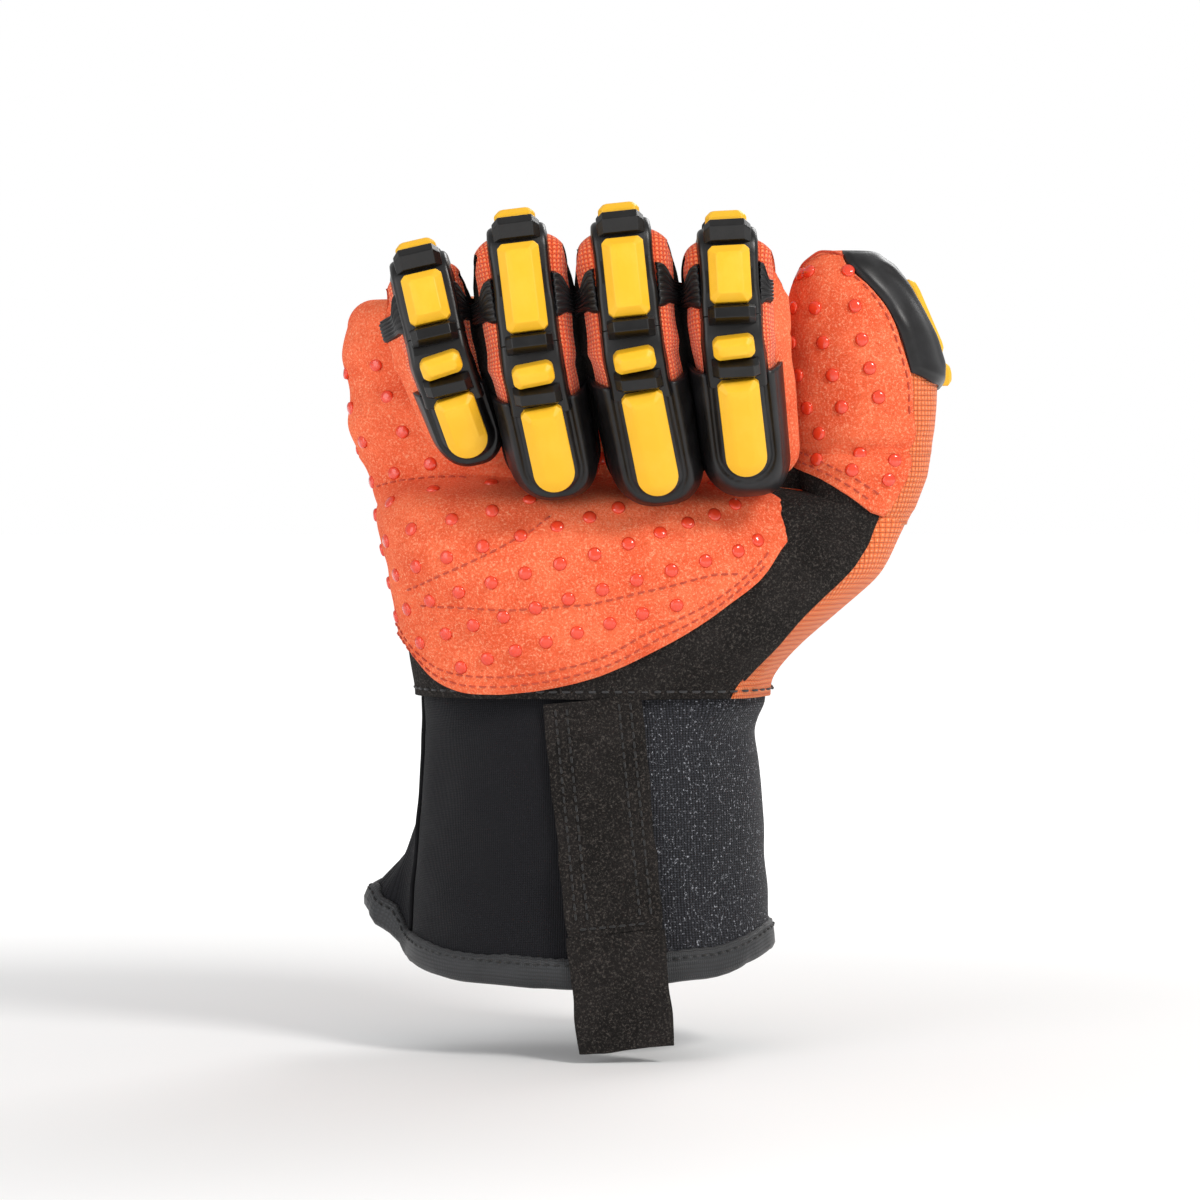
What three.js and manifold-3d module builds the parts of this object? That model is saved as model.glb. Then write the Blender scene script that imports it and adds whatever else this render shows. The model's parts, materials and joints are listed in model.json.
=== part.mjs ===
// Impact work glove for the right hand, closed to a fist.
// Millimetres, +Z up. The fingers curl towards -Y, the thumb is on the +X side, the cuff points down.
// All shapes are placed from the centre of the wrist seam, which WRIST puts into the part's own frame:
// its origin lies under the middle of the glove's bounding box.

import * as THREE from "three";
import { mergeVertices } from "three/addons/utils/BufferGeometryUtils.js";
import Module from "manifold-3d";

const wasm = await Module();
wasm.setup();

// ---------- driving dimensions ----------

const WRIST = new THREE.Vector3(-14.15, 11.714, 85.721); // centre of the wrist seam in the part's frame
const GAP = 0.3; // clearance between pieces that touch
const WALL = 2; // thickness of the sewn fabric shell
const FAR = 120; // longer than any piece that is cut

// Fingers. A finger's joint line runs just under its back; pitch is measured from the -Y direction.
const BACK_OVER_JOINT = 1.5; // fabric over the joint line
const JOINT_CLEARANCE = 0.4;
const FINGERS = {
  index: {
    knuckle: [33.5, 14, 103.5], lean: 3, lengths: [58.6, 24.3, 40.2],
    pitches: [-8.3, 81, 109], widths: [21.5, 20, 17.6], depth: 18.5,
  },
  middle: {
    knuckle: [8.5, 14, 104.5], lean: 6, lengths: [58.8, 29.5, 39.7],
    pitches: [-9.3, 82, 109], widths: [22.5, 21, 18.4], depth: 19,
  },
  ring: {
    knuckle: [-16.2, 14, 102], lean: 7, lengths: [57, 32, 34],
    pitches: [-11, 82.5, 108], widths: [22, 20.5, 17.4], depth: 18.5,
  },
  pinky: {
    knuckle: [-38.8, 13, 95.5], lean: 13, lengths: [50, 23, 27.8],
    pitches: [-12, 80, 107], widths: [18, 16.5, 13.2], depth: 14.5,
  },
};

// Moulded guards
const STRIP_WIDTH = 14.6;
const STRIP_THICKNESS = 1.9;
const RIDGE = { width: 12.4, length: 4, height: 3.4, chamfer: 0.9 };
const PAD = { width: 10, height: 4.6, chamfer: 1.4 };
const SHORT_PAD_LENGTH = 5.4;
const CAP_WALL = 1.3;

// Hand: outline of the palm at each height, and of the thumb root beside it
const PALM_ROWS = [
  { z: 0.4, left: -43, right: 41, front: -26, back: 26 },
  { z: 14, left: -45, right: 46, front: -30, back: 24 },
  { z: 30, left: -48, right: 50, front: -33, back: 21 },
  { z: 39, left: -50, right: 50, front: -33, back: 19.5 },
  { z: 44, left: -52, right: 49, front: -29, back: 19 },
  { z: 48.5, left: -53, right: 48.5, front: -20, back: 18.5 },
  { z: 52, left: -54, right: 48, front: -12.5, back: 18 },
  { z: 75, left: -59, right: 47, front: -12, back: 17 },
  { z: 108, left: -59, right: 47, front: -12, back: 16.5 },
];
const THUMB_ROOT_ROWS = [
  { z: 0.4, left: 5, right: 41, front: -24, back: 24 },
  { z: 14, left: 12, right: 52, front: -29, back: 20 },
  { z: 31, left: 32, right: 72, front: -27, back: 15 },
  { z: 45.6, left: 48.5, right: 79.5, front: -21, back: 10 },
];
const HAND_SQUARENESS = 2.6; // exponent of the superellipse
const PANEL_SPLIT_Y = 1; // side seam between palm and back

// Thumb: outline at each height
const THUMB_ROWS = [
  { z: 46, left: 51.5, right: 80, front: -20.5, back: 9.5 },
  { z: 55, left: 51, right: 83.5, front: -20, back: 9.5 },
  { z: 66, left: 49.6, right: 86, front: -20, back: 9 },
  { z: 80, left: 48.8, right: 86.5, front: -20, back: 8 },
  { z: 92, left: 49, right: 82, front: -20, back: 7 },
  { z: 101, left: 50.5, right: 77, front: -18.5, back: 5.5 },
  { z: 107, left: 53, right: 72, front: -15.5, back: 2 },
  { z: 110.5, left: 58, right: 67, front: -9.5, back: -3 },
];
const THUMB_JOINT = [67, -10, 64];
const THUMB_BEND = 40; // degrees

// Cuff: hem depth below the wrist by angle round the cuff, anticlockwise from +X seen from above
const CUFF_TOP = { halfWidth: 41, halfDepth: 27 };
const CUFF_BOTTOM = { halfWidth: 45, halfDepth: 31 };
const WRIST_BEND = 15; // degrees each way
const HEM_DEPTHS = [
  [15, 61], [60, 60], [110, 58], [148, 55], [163, 50.5], [176, 60],
  [188, 66], [230, 69], [270, 70], [310, 68], [345, 63], [375, 61],
];
const FLARE = { angle: 164, spread: 9, reach: 17.5 }; // pointed corner at the little-finger side
const CUFF_SEAMS = [182, 286, 375]; // front-left, front-right and rear seams, degrees
const HEM = { height: 7, thickness: 1.1, clearance: 0.9 };

// Pull tab: a flat strap sewn to the cuff's front, its lower end hanging free
const TAB = {
  width: 24, topX: 0.6, rootTop: -10, rootBottom: -56.2, bottom: -85, lean: 5.7, tilt: 3.3,
  thickness: 1.6, rootThickness: 3, front: -31,
};

// ---------- colours ----------

const COLOURS = {
  knit: 0xe14b23, suede: 0xfc6434, patch: 0xfc6434, woven: 0xff6e1e, blackSuede: 0x2d2b2a,
  rubber: 0x262424, yellow: 0xf5be28, neoprene: 0x1e1e22, cuffKnit: 0x32343c, binding: 0x3c3e42,
};

// ---------- helpers ----------

const degrees = THREE.MathUtils.degToRad;

function material(colour, roughness) {
  return new THREE.MeshStandardMaterial({ color: colour, roughness, metalness: 0 });
}

function named(name, geometry, colour, roughness = 0.8) {
  const mesh = new THREE.Mesh(geometry, material(colour, roughness));
  mesh.name = name;
  return mesh;
}

function toSolid(geometry) {
  const bare = geometry.clone();
  bare.deleteAttribute("normal");
  bare.deleteAttribute("uv");
  const merged = mergeVertices(bare, 1e-4);
  return new wasm.Manifold(new wasm.Mesh({
    numProp: 3,
    vertProperties: merged.attributes.position.array,
    triVerts: new Uint32Array(merged.index.array),
  }));
}

function toGeometry(solid) {
  const mesh = solid.getMesh();
  const geometry = new THREE.BufferGeometry();
  geometry.setAttribute("position", new THREE.BufferAttribute(mesh.vertProperties, 3));
  geometry.setIndex(new THREE.BufferAttribute(mesh.triVerts, 1));
  const flat = geometry.toNonIndexed();
  flat.computeVertexNormals();
  return flat;
}

// The biggest of the separate bodies that a cut leaves.
function largest(solid) {
  return solid.decompose().sort((a, b) => b.volume() - a.volume())[0];
}

// Closed loft through rings of equal point count, with flat ends. Rings run anticlockwise seen from
// the last ring's side.
function loft(rings) {
  const count = rings[0].length;
  const positions = rings.flat().flatMap((p) => [p.x, p.y, p.z]);
  const index = [];
  for (let r = 0; r < rings.length - 1; r += 1) {
    for (let i = 0; i < count; i += 1) {
      const a = r * count + i;
      const b = r * count + ((i + 1) % count);
      index.push(a, b, b + count, a, b + count, a + count);
    }
  }
  const last = (rings.length - 1) * count;
  for (let i = 1; i < count - 1; i += 1) {
    index.push(0, i + 1, i);
    index.push(last, last + i, last + i + 1);
  }
  const geometry = new THREE.BufferGeometry();
  geometry.setAttribute("position", new THREE.Float32BufferAttribute(positions, 3));
  geometry.setIndex(index);
  return geometry;
}

// Closed sheet between an outer and an inner surface, each a function of (column, row).
function sheet(outer, inner, columns, rows, closed = false) {
  const across = closed ? columns : columns + 1;
  const positions = [];
  for (const surface of [outer, inner]) {
    for (let r = 0; r <= rows; r += 1) {
      for (let c = 0; c < across; c += 1) {
        const p = surface(c / columns, r / rows);
        positions.push(p.x, p.y, p.z);
      }
    }
  }
  const layer = across * (rows + 1);
  const at = (side, c, r) => side * layer + r * across + (c % across);
  const index = [];
  const quad = (a, b, c, d) => index.push(a, b, c, a, c, d);
  for (let c = 0; c < columns; c += 1) {
    for (let r = 0; r < rows; r += 1) {
      quad(at(0, c, r), at(0, c, r + 1), at(0, c + 1, r + 1), at(0, c + 1, r));
      quad(at(1, c, r), at(1, c + 1, r), at(1, c + 1, r + 1), at(1, c, r + 1));
    }
    quad(at(0, c, 0), at(0, c + 1, 0), at(1, c + 1, 0), at(1, c, 0));
    quad(at(0, c + 1, rows), at(0, c, rows), at(1, c, rows), at(1, c + 1, rows));
  }
  for (let r = 0; r < rows && !closed; r += 1) {
    quad(at(0, 0, r + 1), at(0, 0, r), at(1, 0, r), at(1, 0, r + 1));
    quad(at(0, columns, r), at(0, columns, r + 1), at(1, columns, r + 1), at(1, columns, r));
  }
  const geometry = new THREE.BufferGeometry();
  geometry.setAttribute("position", new THREE.Float32BufferAttribute(positions, 3));
  geometry.setIndex(index);
  return geometry;
}

// Prism with its outline in the YZ plane, centred on X.
function sidePrism(outline, width) {
  const shape = new THREE.Shape(outline.map(([y, z]) => new THREE.Vector2(y, z)));
  const geometry = new THREE.ExtrudeGeometry(shape, { depth: width, bevelEnabled: false });
  geometry.translate(0, 0, -width / 2);
  geometry.applyMatrix4(new THREE.Matrix4().makeBasis(
    new THREE.Vector3(0, 1, 0), new THREE.Vector3(0, 0, 1), new THREE.Vector3(1, 0, 0)));
  return geometry;
}

// Prism with its outline in the XZ plane, from one Y to a larger one.
function frontPrism(outline, fromY, toY) {
  const shape = new THREE.Shape(outline.map(([x, z]) => new THREE.Vector2(x, z)));
  const geometry = new THREE.ExtrudeGeometry(shape, { depth: toY - fromY, bevelEnabled: false });
  geometry.rotateX(Math.PI / 2);
  geometry.translate(0, toY, 0);
  return geometry;
}

// Block with cut corners and a chamfered top, standing on the XY plane.
function chamferedBlock(width, length, height, chamfer) {
  const ring = (inset, z) => {
    const x = width / 2 - inset;
    const y = length / 2 - inset;
    const cut = Math.min(chamfer, x * 0.6, y * 0.6);
    return [[x, y - cut], [x - cut, y], [cut - x, y], [-x, y - cut],
      [-x, cut - y], [cut - x, -y], [x - cut, -y], [x, cut - y]]
      .map(([px, py]) => new THREE.Vector3(px, py, z));
  };
  const topInset = Math.min(chamfer * 0.8, length * 0.2);
  return loft([ring(0, 0), ring(0, height - chamfer), ring(topInset, height)]);
}

// ---------- finger sleeves ----------

const CORNER_STEPS = 3;

// Ring round a finger at distance `along`, from the palm side up to its back.
function fingerRing(along, width, top, bottom) {
  const radius = Math.min(width, top - bottom) * 0.42;
  const ring = [];
  for (let corner = 0; corner < 4; corner += 1) {
    const sideX = corner === 0 || corner === 3 ? 1 : -1;
    const sideZ = corner < 2 ? 1 : -1;
    for (let step = 0; step < CORNER_STEPS; step += 1) {
      const angle = (corner + step / (CORNER_STEPS - 1)) * (Math.PI / 2);
      ring.push(new THREE.Vector3(
        sideX * (width / 2 - radius) + radius * Math.cos(angle),
        -along,
        (sideZ > 0 ? top - radius : bottom + radius) + radius * Math.sin(angle),
      ));
    }
  }
  return ring;
}

// A segment is { length, startWidth, endWidth, depth, startBend, endBend }; bends are in degrees.
// Straight tube over a segment, `over` longer at each end.
function fingerTube(segment, offset, over) {
  const ends = [[-over, segment.startWidth], [segment.length + over, segment.endWidth]];
  return toSolid(loft(ends.map(([along, width]) => fingerRing(
    along, width + 2 * offset, BACK_OVER_JOINT + offset, -segment.depth - offset))));
}

// Outline of a segment from the side: square over the joint line, mitred under it.
function segmentOutline({ length, depth, startBend, endBend }) {
  const startSlope = Math.tan(degrees(startBend / 2));
  const endSlope = Math.tan(degrees(endBend / 2));
  const mitresMeet = (length - 2 * JOINT_CLEARANCE) / (startSlope + endSlope);
  const low = Math.min(depth + 4, 0.98 * mitresMeet);
  const startReach = low * startSlope;
  const endReach = low * endSlope;
  return [
    [-JOINT_CLEARANCE, FAR / 8], [-JOINT_CLEARANCE, 0], [-JOINT_CLEARANCE - startReach, -low],
    [-length + JOINT_CLEARANCE + endReach, -low], [-length + JOINT_CLEARANCE, 0],
    [-length + JOINT_CLEARANCE, FAR / 8],
  ];
}

function openSleeve(segment) {
  const outside = fingerTube(segment, 0, 1);
  const inside = fingerTube(segment, -WALL, 2);
  const outline = toSolid(sidePrism(segmentOutline(segment), FAR));
  return toGeometry(outside.subtract(inside).intersect(outline));
}

// Rounded fingertip. Each stage is [distance from the end, share of the width, drop of the back].
const TIP_STAGES = [[9, 1, 0], [4.5, 0.93, 0.6], [1.8, 0.78, 2], [0, 0.45, 5]];
const TIP_PALM_RISE = 1.4; // the palm side rounds up this much faster than the back drops

function tipBody(segment, offset, start) {
  const { length, startWidth, endWidth, depth } = segment;
  const top = BACK_OVER_JOINT + offset;
  const bottom = -depth - offset;
  const rings = [fingerRing(start, startWidth + 2 * offset, top, bottom)];
  for (const [before, share, drop] of TIP_STAGES) {
    rings.push(fingerRing(
      length - before + offset * (1 - before / TIP_STAGES[0][0]),
      endWidth * share + 2 * offset,
      top - drop,
      bottom + drop * TIP_PALM_RISE,
    ));
  }
  return toSolid(loft(rings));
}

function tipSleeve(segment) {
  const outside = tipBody(segment, 0, -1);
  const inside = tipBody(segment, -WALL, -2);
  const long = { ...segment, length: segment.length + FAR };
  const outline = toSolid(sidePrism(segmentOutline(long), FAR));
  return toGeometry(outside.subtract(inside).intersect(outline));
}

const CAP_START = 10; // the cap leaves this much of the tip segment bare at the joint
const TIP_RIDGE = 7; // middle of the tip segment's ridge
const TIP_PAD_SHORTFALL = 4.5; // the tip pad stops this far before the fingertip
const CAP_SIDE_DEPTH = 0.72; // share of the finger's depth that the cap's sides cover

function tipCap(segment) {
  const outside = tipBody(segment, GAP + CAP_WALL, 0);
  const inside = tipBody(segment, GAP, -1);
  const low = -segment.depth * CAP_SIDE_DEPTH;
  const end = -segment.length - FAR / 4;
  const keep = toSolid(sidePrism([
    [-CAP_START, FAR / 4], [-CAP_START, low / 2], [-CAP_START - 5, low], [end, low], [end, FAR / 4],
  ], FAR));
  const strip = guardStrip(JOINT_CLEARANCE + 0.6, CAP_START + 2, [TIP_RIDGE]);
  return toGeometry(outside.subtract(inside).intersect(keep).add(strip));
}

// ---------- guards and pads ----------

const STRIP_BOTTOM = BACK_OVER_JOINT + GAP;
const PAD_BOTTOM = STRIP_BOTTOM + STRIP_THICKNESS + GAP;

function guardStrip(start, end, ridges) {
  const strip = chamferedBlock(STRIP_WIDTH, end - start, STRIP_THICKNESS, 0.6);
  strip.translate(0, -(start + end) / 2, STRIP_BOTTOM);
  let solid = toSolid(strip);
  for (const along of ridges) {
    const ridge = chamferedBlock(RIDGE.width, RIDGE.length, RIDGE.height + 1, RIDGE.chamfer);
    ridge.translate(0, -along, STRIP_BOTTOM + STRIP_THICKNESS - 1);
    solid = solid.add(toSolid(ridge));
  }
  return solid;
}

function padMesh(name, start, end) {
  const block = chamferedBlock(PAD.width, end - start, PAD.height, PAD.chamfer);
  block.translate(0, -(start + end) / 2, PAD_BOTTOM);
  return named(name, block, COLOURS.yellow, 0.45);
}

function rubberMesh(name, geometry) {
  return named(name, geometry, COLOURS.rubber, 0.45);
}

function sleeveMesh(name, geometry, colour) {
  return named(name, geometry, colour, 0.9);
}

// ---------- one finger ----------

function segmentGroup(parent, along, pitch) {
  const group = new THREE.Group();
  group.position.set(0, -along, 0);
  group.rotation.x = degrees(pitch);
  parent.add(group);
  return group;
}

function fingerGroup(name, finger) {
  const { lengths, widths, depth, pitches } = finger;
  const bends = [90 + pitches[0], pitches[1] - pitches[0], pitches[2] - pitches[1], 0];
  const [proximalPart, middlePart, tipPart] = lengths.map((length, i) => ({
    length, depth, startWidth: widths[Math.max(i - 1, 0)], endWidth: widths[i],
    startBend: bends[i], endBend: bends[i + 1],
  }));
  const edge = JOINT_CLEARANCE + 0.4;
  const ridgeReach = RIDGE.length / 2 + GAP;

  const base = new THREE.Group();
  base.position.set(...finger.knuckle);
  base.rotation.y = -degrees(finger.lean);

  const proximal = segmentGroup(base, 0, pitches[0]);
  const proximalEnd = proximalPart.length - edge;
  const upperPadStart = proximalEnd - SHORT_PAD_LENGTH;
  const upperRidge = upperPadStart - ridgeReach;
  const proximalPadEnd = upperRidge - ridgeReach;
  proximal.add(
    sleeveMesh(`${name}_proximal_sleeve`, openSleeve(proximalPart), COLOURS.knit),
    rubberMesh(`${name}_proximal_guard`, toGeometry(guardStrip(12, proximalEnd, [upperRidge]))),
    padMesh(`${name}_proximal_pad`, 14, proximalPadEnd),
    padMesh(`${name}_upper_joint_pad`, upperPadStart, proximalEnd),
  );

  const middle = segmentGroup(proximal, lengths[0], bends[1]);
  const middleEnd = middlePart.length - edge;
  const ridges = [edge + RIDGE.length / 2, middleEnd - RIDGE.length / 2];
  middle.add(
    sleeveMesh(`${name}_middle_sleeve`, openSleeve(middlePart), COLOURS.knit),
    rubberMesh(`${name}_middle_guard`, toGeometry(guardStrip(edge, middleEnd, ridges))),
    padMesh(`${name}_middle_pad`, edge + RIDGE.length + GAP, middleEnd - RIDGE.length - GAP),
  );

  const tip = segmentGroup(middle, lengths[1], bends[2]);
  const tipPadEnd = tipPart.length - TIP_PAD_SHORTFALL;
  tip.add(
    sleeveMesh(`${name}_tip_sleeve`, tipSleeve(tipPart), COLOURS.suede),
    rubberMesh(`${name}_tip_cap`, tipCap(tipPart)),
    padMesh(`${name}_lower_joint_pad`, edge, TIP_RIDGE - ridgeReach),
    padMesh(`${name}_tip_pad`, TIP_RIDGE + ridgeReach, tipPadEnd),
  );
  return base;
}

// ---------- hand ----------

const HAND_STEPS = 28;

function superellipseRing(row, offset, squareness, steps) {
  const centreX = (row.left + row.right) / 2;
  const centreY = (row.front + row.back) / 2;
  const halfX = (row.right - row.left) / 2 + offset;
  const halfY = (row.back - row.front) / 2 + offset;
  const ring = [];
  for (let i = 0; i < steps; i += 1) {
    const angle = (i / steps) * 2 * Math.PI;
    const c = Math.cos(angle);
    const s = Math.sin(angle);
    ring.push(new THREE.Vector3(
      centreX + halfX * Math.sign(c) * Math.abs(c) ** (2 / squareness),
      centreY + halfY * Math.sign(s) * Math.abs(s) ** (2 / squareness),
      row.z,
    ));
  }
  return ring;
}

function rowsBody(rows, offset, squareness, below = 0, above = 0) {
  const rings = rows.map((row) => superellipseRing(row, offset, squareness, HAND_STEPS));
  rings[0].forEach((p) => { p.z -= below; });
  rings[rings.length - 1].forEach((p) => { p.z += above; });
  return toSolid(loft(rings));
}

function handBody(offset, below = 0, above = 0) {
  const palm = rowsBody(PALM_ROWS, offset, HAND_SQUARENESS, below, above);
  const thumbRoot = rowsBody(THUMB_ROOT_ROWS, offset, HAND_SQUARENESS, below, above);
  return palm.add(thumbRoot);
}

// Space swept clear over the hand for each finger's base.
function knuckleCutters() {
  const reaches = { index: [-13, 30], middle: [-14, 14], ring: [-14, 14], pinky: [-40, 12] };
  return Object.entries(FINGERS).map(([name, finger]) => {
    const slope = Math.tan(degrees((90 + finger.pitches[0]) / 2));
    const [from, to] = reaches[name];
    const outline = [[20, -0.5], [0, -0.5], [-50, -0.5 - 50 * slope], [-50, 40], [20, 40]];
    const prism = sidePrism(outline, to - from);
    prism.translate((from + to) / 2, 0, 0);
    prism.rotateY(-degrees(finger.lean));
    prism.translate(...finger.knuckle);
    return toSolid(prism);
  });
}

function cutKnuckles(solid) {
  return knuckleCutters().reduce((rest, cutter) => rest.subtract(cutter), solid);
}

function slab(fromY, toY) {
  return toSolid(frontPrism([[-FAR, -FAR], [FAR, -FAR], [FAR, 2 * FAR], [-FAR, 2 * FAR]], fromY, toY));
}

const PATCH_THICKNESS = 1.2;
const PATCH_OUTLINE = [
  [-70, 13], [-43, 15], [-36, 7], [-25, 3.6], [-7, 3.6], [12, 12], [32, 25], [43, 36],
  [46.6, 44], [45.4, 51], [45.4, 100], [-70, 100],
];
const PATCH_BACK_EDGE_Y = 8;

function palmPatch() {
  const layer = handBody(GAP + PATCH_THICKNESS).subtract(handBody(GAP, 5, 5));
  const outline = toSolid(frontPrism(PATCH_OUTLINE, -FAR, PATCH_BACK_EDGE_Y));
  return toGeometry(largest(cutKnuckles(layer.intersect(outline))));
}

const BACK_GUARD = { thickness: 2.6, fromY: 12, flatY: 24 };
const BACK_GUARD_OUTLINE = [
  [-26, 34], [20, 34], [33, 52], [38, 92], [20, 99], [-10, 99], [-30, 93], [-44, 84], [-40, 56],
];
const BACK_PAD_OUTLINE = [
  [-18, 42], [14, 42], [24, 56], [28, 80], [-32, 80], [-30, 60],
];

function backGuard() {
  const offset = GAP + BACK_GUARD.thickness;
  const layer = handBody(offset).subtract(handBody(GAP, 5, 5));
  const outline = toSolid(frontPrism(BACK_GUARD_OUTLINE, BACK_GUARD.fromY, FAR));
  return toGeometry(cutKnuckles(layer.intersect(outline)));
}

function backPad() {
  const outline = toSolid(frontPrism(BACK_PAD_OUTLINE, BACK_GUARD.fromY, BACK_GUARD.flatY));
  return toGeometry(outline.subtract(handBody(2 * GAP + BACK_GUARD.thickness)));
}

function handMeshes() {
  const shell = cutKnuckles(handBody(0).subtract(handBody(-WALL, 5, 5)));
  const palm = shell.intersect(slab(-FAR, PANEL_SPLIT_Y - GAP / 2));
  const back = shell.intersect(slab(PANEL_SPLIT_Y + GAP / 2, FAR));
  return [
    named("palm_panel", toGeometry(largest(palm)), COLOURS.blackSuede, 0.9),
    named("back_panel", toGeometry(largest(back)), COLOURS.woven, 0.9),
    named("palm_patch", palmPatch(), COLOURS.patch, 0.9),
    named("back_guard", backGuard(), COLOURS.rubber, 0.5),
    named("back_pad", backPad(), COLOURS.yellow, 0.45),
  ];
}

// ---------- thumb ----------

const THUMB_SQUARENESS = 2.3;
const THUMB_GUARD_WALL = 2;
const THUMB_GUARD_OUTLINE = [[62, 72], [95, 72], [95, 115], [60, 115], [66, 98], [70, 84]];

// Half-space wedge that leaves room for the thumb's joint to bend towards -Y.
function thumbWedge(up) {
  const reach = FAR * Math.tan(degrees(THUMB_BEND / 2 + 1));
  const [, hingeY, hingeZ] = THUMB_JOINT;
  const side = up ? 1 : -1;
  const points = [
    [hingeY - FAR, hingeZ + side * (JOINT_CLEARANCE + reach)], [hingeY, hingeZ + side * JOINT_CLEARANCE],
    [hingeY + FAR, hingeZ + side * JOINT_CLEARANCE], [hingeY + FAR, hingeZ + side * 2 * FAR],
    [hingeY - FAR, hingeZ + side * 2 * FAR],
  ];
  return toSolid(sidePrism(up ? points.reverse() : points, 4 * FAR));
}

function thumbMeshes() {
  const whole = rowsBody(THUMB_ROWS, 0, THUMB_SQUARENESS);
  const shell = whole.subtract(rowsBody(THUMB_ROWS, -WALL, THUMB_SQUARENESS, 5, -1.5));
  const guardLayer = rowsBody(THUMB_ROWS, GAP + THUMB_GUARD_WALL, THUMB_SQUARENESS)
    .subtract(rowsBody(THUMB_ROWS, GAP, THUMB_SQUARENESS, 5));
  const guard = guardLayer.intersect(toSolid(frontPrism(THUMB_GUARD_OUTLINE, -9, FAR)));
  const padBlock = chamferedBlock(9, 24, 4, 1.2);
  padBlock.rotateX(-Math.PI / 2);
  padBlock.translate(70, 8, 90);
  const padSolid = toSolid(padBlock)
    .subtract(rowsBody(THUMB_ROWS, 2 * GAP + THUMB_GUARD_WALL, THUMB_SQUARENESS));
  return [
    named("thumb_base_sleeve", toGeometry(shell.intersect(thumbWedge(false))), COLOURS.suede),
    named("thumb_tip_sleeve", toGeometry(shell.intersect(thumbWedge(true))), COLOURS.suede),
    named("thumb_guard", toGeometry(guard), COLOURS.rubber, 0.5),
    named("thumb_pad", toGeometry(padSolid), COLOURS.yellow, 0.45),
  ];
}

// ---------- cuff ----------

function hemDepth(angle) {
  const turned = angle < HEM_DEPTHS[0][0] ? angle + 360 : angle;
  const next = HEM_DEPTHS.findIndex(([at]) => at >= turned);
  const [toAngle, toDepth] = HEM_DEPTHS[Math.max(next, 1)];
  const [fromAngle, fromDepth] = HEM_DEPTHS[Math.max(next, 1) - 1];
  const share = THREE.MathUtils.smoothstep(turned, fromAngle, toAngle);
  return THREE.MathUtils.lerp(fromDepth, toDepth, share);
}

// Point on the cuff at an angle round it and a depth below the wrist, moved out by the offset.
function cuffPoint(angle, depth, offset) {
  const share = depth / CUFF_BOTTOM_DEPTH;
  const halfWidth = THREE.MathUtils.lerp(CUFF_TOP.halfWidth, CUFF_BOTTOM.halfWidth, share) + offset;
  const halfDepth = THREE.MathUtils.lerp(CUFF_TOP.halfDepth, CUFF_BOTTOM.halfDepth, share) + offset;
  const away = (angle - FLARE.angle) / FLARE.spread;
  const rise = THREE.MathUtils.smoothstep(depth, 22, 56);
  const flare = FLARE.reach * Math.exp(-away * away) * rise * rise;
  return new THREE.Vector3(
    (halfWidth + flare) * Math.cos(degrees(angle)),
    (halfDepth + flare) * Math.sin(degrees(angle)),
    -depth,
  );
}

const CUFF_BOTTOM_DEPTH = 70;
const COLUMN_DEGREES = 6;

// Part of the cuff between two angles. The top edge falls away front and back so that it can bend.
function cuffPanel(fromAngle, toAngle, bottomShort) {
  const bend = Math.tan(degrees(WRIST_BEND));
  const surface = (offset) => (c, r) => {
    const angle = THREE.MathUtils.lerp(fromAngle, toAngle, c);
    const halfDepth = CUFF_TOP.halfDepth + 2;
    const top = 0.5 + Math.abs(halfDepth * Math.sin(degrees(angle))) * bend;
    return cuffPoint(angle, THREE.MathUtils.lerp(top, hemDepth(angle) - bottomShort, r), offset);
  };
  const columns = Math.round((toAngle - fromAngle) / COLUMN_DEGREES);
  return sheet(surface(0), surface(-WALL), columns, 4);
}

function hemBinding() {
  const surface = (offset) => (c, r) => {
    const angle = 15 + 360 * c;
    return cuffPoint(angle, hemDepth(angle) - HEM.height * (1 - r), offset);
  };
  return sheet(surface(HEM.clearance + HEM.thickness), surface(HEM.clearance), 72, 1, true);
}

function cuffMeshes() {
  const seamGap = 0.4;
  const [left, right, rear] = CUFF_SEAMS;
  return [
    named("cuff_front_panel", cuffPanel(left + seamGap, right - seamGap, 0.8), COLOURS.neoprene, 0.9),
    named("cuff_side_panel", cuffPanel(right + seamGap, rear - seamGap, 0.8), COLOURS.cuffKnit, 0.9),
    named("cuff_back_panel", cuffPanel(rear - 360 + seamGap, left - seamGap, 0.8), COLOURS.neoprene, 0.9),
    named("hem_binding", hemBinding(), COLOURS.binding, 0.5),
  ];
}

// The strap leans to +X as it goes down, and tilts with the widening cuff.
function strapPiece(name, top, bottom, thickness) {
  const box = new THREE.BoxGeometry(TAB.width, thickness, top - bottom);
  box.translate(0, thickness / 2, (top + bottom) / 2);
  const piece = named(name, box, COLOURS.blackSuede, 0.9);
  piece.position.set(TAB.topX, TAB.front, 0);
  piece.rotation.set(-degrees(TAB.tilt), -degrees(TAB.lean), 0);
  return piece;
}

function pullTab() {
  return [
    strapPiece("pull_tab_root", TAB.rootTop, TAB.rootBottom, TAB.rootThickness),
    strapPiece("pull_tab", TAB.rootBottom - 2 * GAP, TAB.bottom, TAB.thickness),
  ];
}

// ---------- the glove ----------

const glove = new THREE.Group();
glove.position.copy(WRIST);
for (const [name, finger] of Object.entries(FINGERS)) {
  glove.add(fingerGroup(name, finger));
}
glove.add(...handMeshes(), ...thumbMeshes(), ...cuffMeshes(), ...pullTab());

export default glove;
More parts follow.
